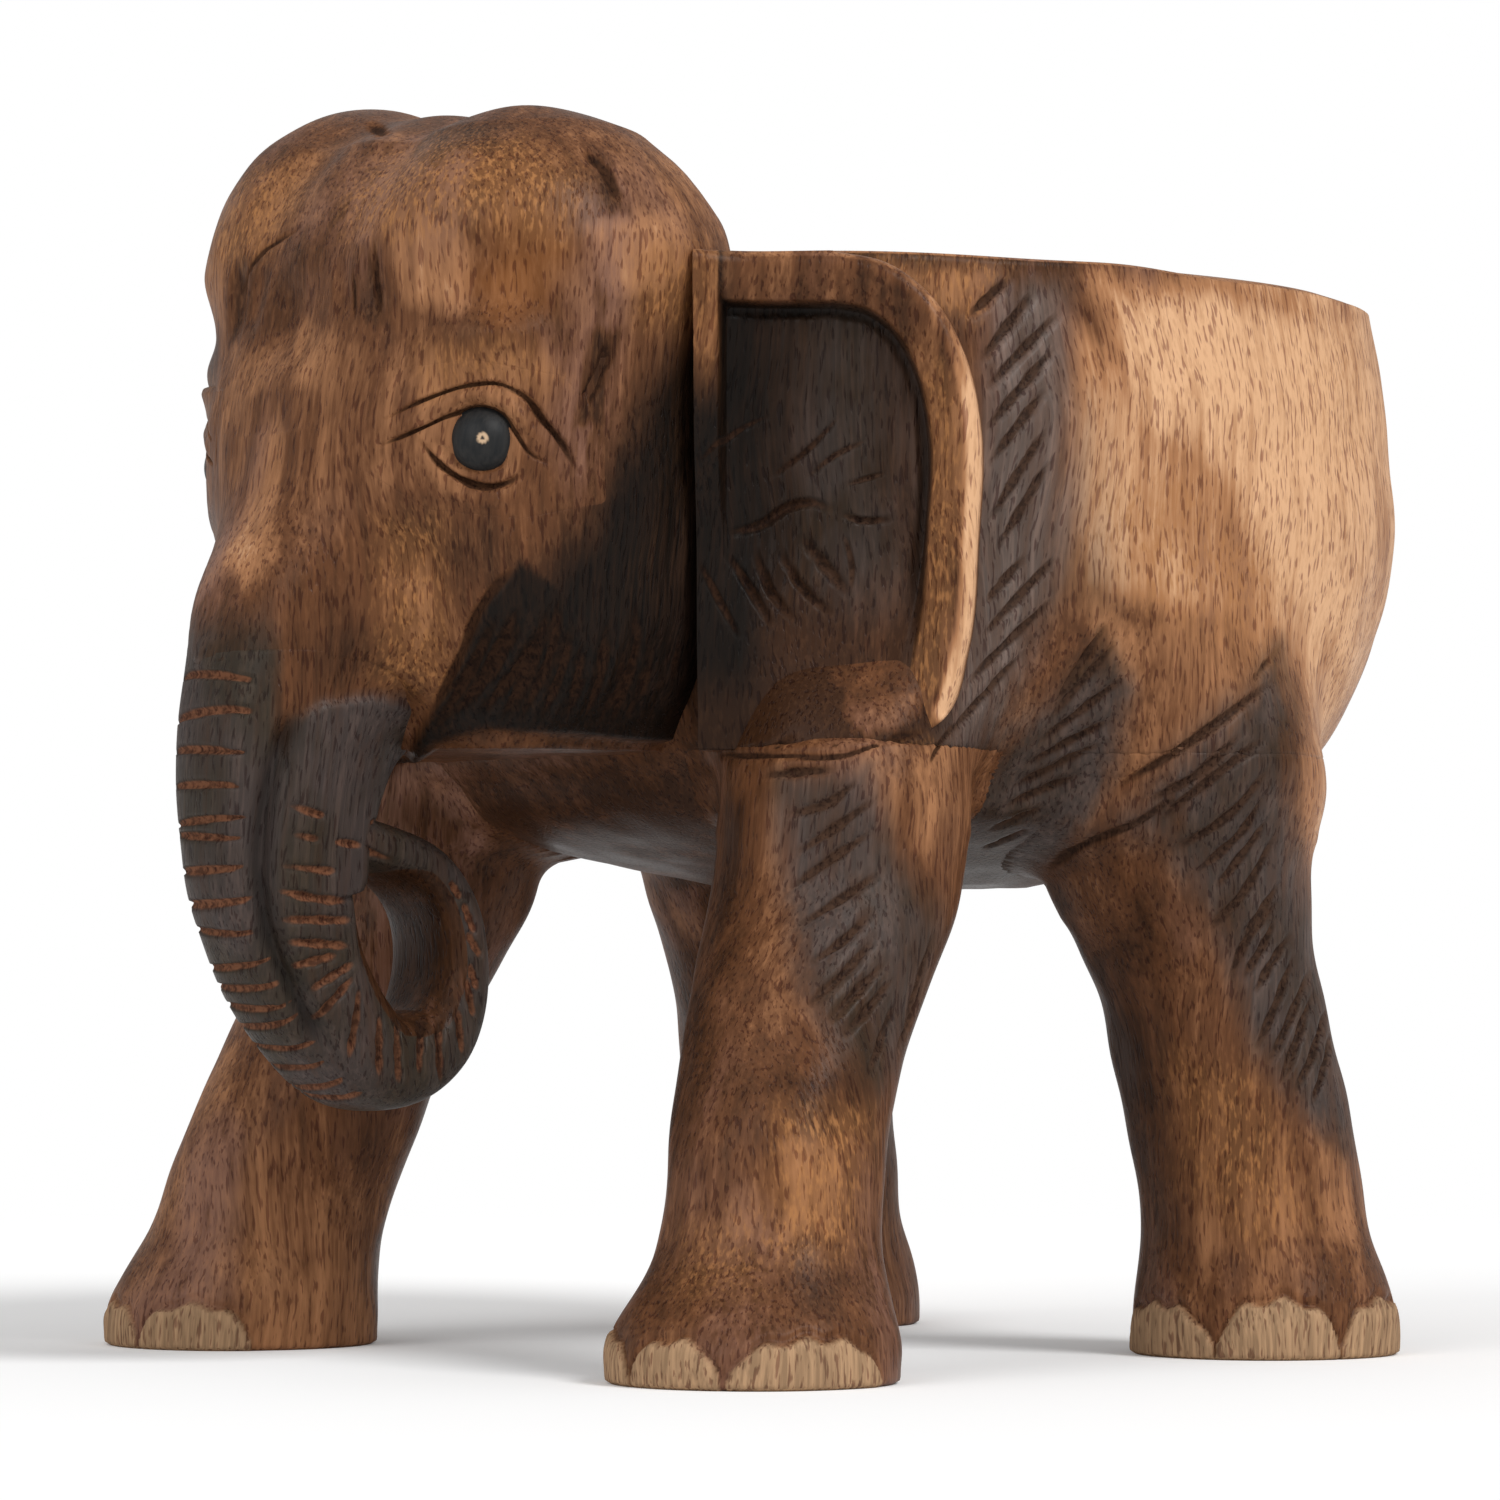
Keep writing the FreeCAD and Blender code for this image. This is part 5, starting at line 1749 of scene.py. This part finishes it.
class Nodes:
    """Short calls for making and joining shader nodes in one tree."""

    noise_roughness = 0.55

    def __init__(self, tree: bpy.types.NodeTree) -> None:
        """Keeps the tree."""
        self.tree = tree

    def add(self, kind: str, inputs: dict | None = None, **settings) -> bpy.types.Node:
        """Adds a node, sets its settings, and fills or links its inputs."""
        node = self.tree.nodes.new(kind)
        for name, value in settings.items():
            setattr(node, name, value)
        for name, value in (inputs or {}).items():
            if isinstance(value, bpy.types.NodeSocket):
                self.tree.links.new(value, node.inputs[name])
            else:
                node.inputs[name].default_value = value
        return node

    def maths(self, operation: str, first, second, clamp: bool = False) -> bpy.types.NodeSocket:
        """A Math node of two values."""
        inputs = {0: first, 1: second}
        node = self.add("ShaderNodeMath", inputs, operation=operation, use_clamp=clamp)
        return node.outputs[0]

    def times(self, first, second) -> bpy.types.NodeSocket:
        """The product of two values."""
        return self.maths("MULTIPLY", first, second)

    def plus(self, first, second) -> bpy.types.NodeSocket:
        """The sum of two values."""
        return self.maths("ADD", first, second)

    def sway(self, value, size: float) -> bpy.types.NodeSocket:
        """A value from 0 to 1 as an offset from -size to size."""
        return self.spread(value, 0.0, 1.0, -size, size)

    def spread(
        self, value, low: float, high: float, to_low: float = 0.0, to_high: float = 1.0
    ) -> bpy.types.NodeSocket:
        """A Map Range node, clamped."""
        node = self.add("ShaderNodeMapRange", {0: value, 1: low, 2: high, 3: to_low, 4: to_high})
        return node.outputs[0]

    def noise(
        self, vector, scale: tuple[float, float, float], detail: float
    ) -> bpy.types.NodeSocket:
        """A noise stretched by a scale for each axis, in cells per metre."""
        mapped = self.add("ShaderNodeMapping", {"Vector": vector, "Scale": scale})
        node = self.add("ShaderNodeTexNoise", {
            "Vector": mapped.outputs[0], "Scale": 1.0, "Detail": detail,
            "Roughness": self.noise_roughness,
        })
        return node.outputs["Fac"]

    def mix(self, share, first, second, mode: str = "MIX") -> bpy.types.NodeSocket:
        """A colour Mix node."""
        node = self.add("ShaderNodeMix", data_type="RGBA", blend_type=mode)
        for socket, value in ((0, share), (6, first), (7, second)):
            if isinstance(value, bpy.types.NodeSocket):
                self.tree.links.new(value, node.inputs[socket])
            elif socket == 0:
                node.inputs[0].default_value = value
            else:
                node.inputs[socket].default_value = (*value, 1.0)
        return node.outputs[2]

    def tint(self, base, colour: Colour) -> bpy.types.NodeSocket:
        """A colour multiplied by another."""
        return self.mix(1.0, base, colour, "MULTIPLY")

    def mark(self, name: str) -> bpy.types.NodeSocket:
        """A mark painted on the mesh."""
        node = self.add("ShaderNodeAttribute", attribute_name=name, attribute_type="GEOMETRY")
        return node.outputs["Fac"]

    def finish(self, shader: bpy.types.Node, kind: str = "ShaderNodeOutputMaterial") -> None:
        """Joins a shader to a new output."""
        self.add(kind, {"Surface": shader.outputs[0]})


def empty_tree(owner: bpy.types.ID) -> Nodes:
    """The node tree of a material or a world, switched on and emptied."""
    owner.use_nodes = True
    owner.node_tree.nodes.clear()
    return Nodes(owner.node_tree)


def wood_tree(
    name: str, grain: bpy.types.NodeTree
) -> tuple[bpy.types.Material, Nodes, bpy.types.NodeSocket, bpy.types.Node]:
    """A new material, its nodes, its Object coordinates and the shared grain on them."""
    material = bpy.data.materials.new(name)
    n = empty_tree(material)
    place = n.add("ShaderNodeTexCoord").outputs["Object"]
    return material, n, place, n.add("ShaderNodeGroup", {"Vector": place}, node_tree=grain)


GRAIN_OUTPUTS = ("Streak", "Fibre", "Pores", "Fleck", "Mottle", "Height")


def grain_group() -> bpy.types.NodeTree:
    """The grain of the wood as a node group, with upright fibres.

    Streak is broad light and dark, Fibre is fine lines, Pores are short dark dashes, Fleck is
    short light dashes, Mottle is cloudy variation, and Height is for bump.
    """
    tree = bpy.data.node_groups.new("wood_grain", "ShaderNodeTree")
    tree.interface.new_socket("Vector", in_out="INPUT", socket_type="NodeSocketVector")
    for name in GRAIN_OUTPUTS:
        tree.interface.new_socket(name, in_out="OUTPUT", socket_type="NodeSocketFloat")
    nodes = Nodes(tree)
    vector = nodes.add("NodeGroupInput").outputs["Vector"]
    bend = nodes.add("ShaderNodeTexNoise", {"Vector": vector, "Scale": 14.0, "Detail": 1.0})
    kind, half = "ShaderNodeVectorMath", (0.5, 0.5, 0.5)
    shift = nodes.add(kind, {0: bend.outputs["Color"], 1: half}, operation="SUBTRACT")
    scaled = nodes.add(kind, {0: shift.outputs[0], "Scale": 0.016}, operation="SCALE")
    bent = nodes.add(kind, {0: vector, 1: scaled.outputs[0]}, operation="ADD").outputs[0]
    streak = nodes.spread(nodes.noise(bent, (210.0, 210.0, 13.0), 3.0), 0.32, 0.68)
    fibre = nodes.spread(nodes.noise(bent, (900.0, 900.0, 42.0), 2.0), 0.30, 0.70)
    pores = nodes.spread(nodes.noise(bent, (1150.0, 1150.0, 180.0), 1.0), 0.57, 0.66)
    fleck = nodes.spread(nodes.noise(bent, (1000.0, 1000.0, 260.0), 2.0), 0.50, 0.66)
    mottle = nodes.spread(nodes.noise(vector, (34.0, 34.0, 24.0), 4.0), 0.34, 0.66)
    height = nodes.maths("SUBTRACT", nodes.times(fibre, 0.35), pores)
    sockets = (streak, fibre, pores, fleck, mottle, height)
    nodes.add("NodeGroupOutput", dict(zip(GRAIN_OUTPUTS, sockets)))
    return tree


@dataclass(frozen=True)
class CarvedWood:
    """Waxed hardwood, with stain, black, painted shade, golden flecks and bare nails by painted
    marks. Black is partly the carving's own black and partly painted shade in hollows and
    undercuts.
    """

    name: str
    deep: Colour = (0.040, 0.016, 0.007)
    brown: Colour = (0.130, 0.051, 0.021)
    honey: Colour = (0.385, 0.178, 0.080)
    peach: Colour = (0.700, 0.410, 0.228)
    gold: Colour = (0.390, 0.172, 0.058)
    stain: Colour = (0.054, 0.041, 0.036)
    slate: Colour = (0.150, 0.118, 0.104)
    stain_brown: Colour = (0.032, 0.019, 0.011)
    black: Colour = (0.005, 0.0034, 0.0024)
    cut: Colour = (0.062, 0.031, 0.018)
    orange: Colour = (0.230, 0.080, 0.018)
    mauve: Colour = (0.235, 0.125, 0.098)
    nail: Colour = (0.450, 0.280, 0.158)
    roughness: float = 0.42
    bump: float = 0.45

    def build(self, grain: bpy.types.NodeTree) -> bpy.types.Material:
        """Makes the material.

        Args:
            grain: the shared grain group.
        """
        material, n, place, wood = wood_tree(self.name, grain)
        streak, fibre, pores, fleck, mottle, height = wood.outputs[:6]
        tone, gold, stain = n.mark("tone"), n.mark("gold"), n.mark("stain")
        black, groove, pale = n.mark("black"), n.mark("groove"), n.mark("pale")
        wander = n.plus(n.sway(streak, 0.12), n.sway(mottle, 0.12))
        wander = n.plus(wander, n.sway(fibre, 0.08))
        level = n.maths("SUBTRACT", n.plus(tone, wander), n.times(n.mark("shade"), 0.34))
        low = n.mix(n.spread(level, 0.0, 0.36), self.deep, self.brown)
        middle = n.mix(n.spread(level, 0.36, 0.70), low, self.honey)
        base = n.mix(n.spread(level, 0.70, 1.0), middle, self.peach)
        clouds = n.spread(n.noise(place, (26.0, 26.0, 11.0), 2.0), 0.50, 0.66)
        rosy = n.times(clouds, n.spread(level, 0.18, 0.42))
        base = n.mix(n.times(rosy, n.spread(level, 0.85, 0.60, 0.0, 0.50)), base, self.mauve)
        base = n.mix(n.times(n.mark("orange"), 0.75), base, self.orange)
        golden = n.times(n.times(gold, n.spread(fleck, 0.0, 1.0, 0.25, 1.0)), 0.85)
        base = n.mix(golden, base, self.gold)
        loose = n.times(fleck, n.spread(tone, 0.25, 0.7, 0.05, 0.30))
        base = n.mix(loose, base, self.honey)
        dark = n.mix(n.spread(mottle, 0.25, 0.75), self.stain_brown, self.stain)
        edge = n.plus(stain, n.times(n.sway(streak, 0.25), n.spread(stain, 0.0, 0.5)))
        slated = n.times(n.mark("slate"), n.spread(mottle, 0.0, 1.0, 0.55, 0.85))
        dark = n.mix(slated, dark, self.slate)
        lit = n.tint(dark, (1.75, 1.62, 1.56))
        dark = n.mix(n.spread(n.plus(fibre, streak), 0.9, 1.6, 0.0, 0.8), dark, lit)
        base = n.mix(n.times(n.spread(edge, 0.05, 0.95), 0.95), base, dark)
        base = n.mix(n.times(black, n.spread(fibre, 0.0, 1.0, 0.99, 0.90)), base, self.black)
        bared = n.spread(n.maths("SUBTRACT", stain, black), 0.0, 0.7)
        opened = n.mix(bared, self.deep, self.cut)
        opened = n.mix(n.times(black, 0.30), opened, self.black)
        rugged = n.spread(n.noise(place, (620.0, 620.0, 620.0), 2.0), 0.42, 0.62)
        opened = n.mix(n.times(rugged, 0.75), opened, n.tint(opened, (0.22, 0.18, 0.18)))
        base = n.mix(n.times(n.spread(groove, 0.22, 0.55), 0.88), base, opened)
        bare = n.mix(n.spread(fibre, 0.2, 0.9), tuple(0.62 * v for v in self.nail), self.nail)
        base = n.mix(pale, base, bare)
        base = n.mix(n.times(pores, 0.72), base, n.tint(base, (0.40, 0.28, 0.29)))
        waxed = n.spread(mottle, 0.0, 1.0, self.roughness - 0.07, self.roughness + 0.09)
        dull = n.times(n.spread(n.maths("MAXIMUM", groove, pale), 0.0, 0.3), 0.45)
        rough = n.maths("ADD", waxed, dull, clamp=True)
        bump = n.add("ShaderNodeBump", {
            "Strength": self.bump, "Distance": 0.0004, "Height": height,
        })
        surface = n.add("ShaderNodeBsdfPrincipled", {
            "Base Color": base, "Roughness": rough, "Normal": bump.outputs[0],
            "Coat Weight": 0.02, "Coat Roughness": 0.30, "Specular IOR Level": 0.10,
        })
        n.finish(surface)
        return material


@dataclass(frozen=True)
class EyePaint:
    """Blue-black paint with a fine cream ring, a little uneven."""

    name: str = "eye_paint"
    paint: Colour = (0.009, 0.010, 0.011)
    worn: Colour = (0.022, 0.021, 0.020)
    cream: Colour = (0.55, 0.38, 0.24)

    def build(self, grain: bpy.types.NodeTree) -> bpy.types.Material:
        """Makes the material over the shared grain."""
        material, n, _, wood = wood_tree(self.name, grain)
        base = n.mix(wood.outputs["Fibre"], self.paint, self.worn)
        base = n.mix(n.mark("pale"), base, self.cream)
        rough = n.spread(wood.outputs["Mottle"], 0.0, 1.0, 0.36, 0.52)
        bump = n.add("ShaderNodeBump", {
            "Strength": 0.15, "Distance": 0.0003, "Height": wood.outputs["Height"],
        })
        surface = n.add("ShaderNodeBsdfPrincipled", {
            "Base Color": base, "Roughness": rough, "Normal": bump.outputs[0],
            "Specular IOR Level": 0.22,
        })
        n.finish(surface)
        return material


@dataclass(frozen=True)
class DowelWood:
    """Bare pale wood of the hidden dowels."""

    name: str = "dowel_wood"
    light: Colour = (0.60, 0.42, 0.24)
    dark: Colour = (0.42, 0.27, 0.14)

    def build(self, grain: bpy.types.NodeTree) -> bpy.types.Material:
        """Makes the material over the shared grain."""
        material, n, _, wood = wood_tree(self.name, grain)
        base = n.mix(wood.outputs["Streak"], self.dark, self.light)
        bump = n.add("ShaderNodeBump", {
            "Strength": 0.3, "Distance": 0.0003, "Height": wood.outputs["Height"],
        })
        rough = n.spread(wood.outputs["Fibre"], 0.0, 1.0, 0.55, 0.75)
        surface = n.add("ShaderNodeBsdfPrincipled", {
            "Base Color": base, "Roughness": rough, "Normal": bump.outputs[0],
        })
        n.finish(surface)
        return material


# Studio

WHITE = (1.0, 1.0, 1.0, 1.0)


@dataclass(frozen=True)
class Studio:
    """Pale floor that fades into a white world, two soft lamps and an even sky."""

    floor_size: float = 30.0
    fade_start: float = 0.35
    fade_end: float = 0.95
    floor_grey: float = 0.93
    lift: float = 0.12
    sky: float = 0.50

    def build(self) -> None:
        """Makes the floor, the world and the lamps."""
        half = self.floor_size / 2.0
        mesh = bpy.data.meshes.new("floor")
        corners = [(-half, -half, 0.0), (half, -half, 0.0), (half, half, 0.0), (-half, half, 0.0)]
        mesh.from_pydata(corners, [], [(0, 1, 2, 3)])
        floor = bpy.data.objects.new("floor", mesh)
        bpy.context.scene.collection.objects.link(floor)
        mesh.materials.append(self.floor_material())
        self.world()
        self.lamp("key_lamp", 1.75, math.radians(22.0), (48.0, 0.0, 96.0))
        self.lamp("fill_lamp", 0.75, math.radians(40.0), (62.0, 0.0, 10.0))

    def lamp(
        self, name: str, strength: float, softness: float, degrees: tuple[float, float, float]
    ) -> None:
        """Adds a soft far lamp, turned by Euler angles in degrees."""
        data = bpy.data.lights.new(name, "SUN")
        data.energy = strength
        data.angle = softness
        lamp = bpy.data.objects.new(name, data)
        lamp.rotation_euler = tuple(math.radians(value) for value in degrees)
        bpy.context.scene.collection.objects.link(lamp)

    def floor_material(self) -> bpy.types.Material:
        """White matt floor near the stool, pure white to the camera further off."""
        material = bpy.data.materials.new("floor")
        n = empty_tree(material)
        place = n.add("ShaderNodeTexCoord").outputs["Object"]
        distance = n.add("ShaderNodeVectorMath", {0: place}, operation="LENGTH").outputs["Value"]
        fade = n.spread(distance, self.fade_start, self.fade_end)
        shade = n.add("ShaderNodeBsdfDiffuse", {"Color": (self.floor_grey,) * 3 + (1.0,)})
        white = n.add("ShaderNodeEmission", {"Color": WHITE, "Strength": 1.0})
        seen = n.add("ShaderNodeLightPath").outputs["Is Camera Ray"]
        strength = n.times(seen, self.lift)
        lift = n.add("ShaderNodeEmission", {"Color": WHITE, "Strength": strength})
        near = n.add("ShaderNodeAddShader", {0: shade.outputs[0], 1: lift.outputs[0]})
        share = n.times(fade, seen)
        mix = n.add("ShaderNodeMixShader", {0: share, 1: near.outputs[0], 2: white.outputs[0]})
        n.finish(mix)
        return material

    def world(self) -> None:
        """Even pale sky whose strength is 1 to the camera."""
        world = bpy.data.worlds.new("studio")
        bpy.context.scene.world = world
        n = empty_tree(world)
        seen = n.add("ShaderNodeLightPath").outputs["Is Camera Ray"]
        strength = n.spread(seen, 0.0, 1.0, self.sky, 1.0)
        sky = n.add("ShaderNodeBackground", {"Color": WHITE, "Strength": strength})
        n.finish(sky, "ShaderNodeOutputWorld")


def mirror(grid: Grid) -> Grid:
    """The same grid on the other side of the middle plane."""
    return Grid(grid.points * MIRRORED, grid.wrap, grid.marks)


def main() -> None:
    """Builds the stool's pieces in order, dresses them and sets up the studio."""
    logging.basicConfig(level=logging.INFO, format="%(name)s: %(message)s")
    bpy.context.scene.view_settings.view_transform = "Standard"
    grain = grain_group()
    carved = CarvedWood("carved_wood").build(grain)
    stained = CarvedWood(
        "stained_wood", stain=(0.048, 0.038, 0.035), stain_brown=(0.032, 0.025, 0.018),
        cut=(0.190, 0.076, 0.037),
    ).build(grain)
    dress(make_mesh("body_carving", Body().build(), carved), "carved_wood", "body")
    for leg in Leg:
        node = leg.value[0]
        dress(make_mesh(node + "_carving", LegPiece(leg).build(), carved), "carved_wood", node)
    head = Head()
    dress(make_mesh("head_carving", head.build(), carved), "carved_wood", "head")
    dress(make_mesh("trunk_carving", Trunk().build(), stained), "stained_wood", "trunk")
    ear = Ear().build()
    dress(make_mesh("left_ear_carving", ear, carved), "carved_wood", "left_ear")
    dress(make_mesh("right_ear_carving", mirror(ear), carved), "carved_wood", "right_ear")
    lids = head.lids()
    dress(make_mesh("left_eye_lids", lids, carved), "carved_wood")
    dress(make_mesh("right_eye_lids", mirror(lids), carved), "carved_wood")
    eye = Eye().build()
    eye_paint = EyePaint().build(grain)
    dress(make_mesh("left_eye", eye, eye_paint), "stained_wood")
    far_eye = mirror(eye)
    far_eye.points = far_eye.points + np.array([Eye.far_shift, 0.0, 0.0])
    dress(make_mesh("right_eye", far_eye, eye_paint), "stained_wood")
    dowel = DowelWood().build(grain)
    for name in ("leg_dowels", "neck_dowels", "trunk_dowel"):
        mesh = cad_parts[name].data
        mesh.materials.clear()
        mesh.materials.append(dowel)
    Studio().build()
    CAMERA.build()


if __name__ == "__main__":
    main()
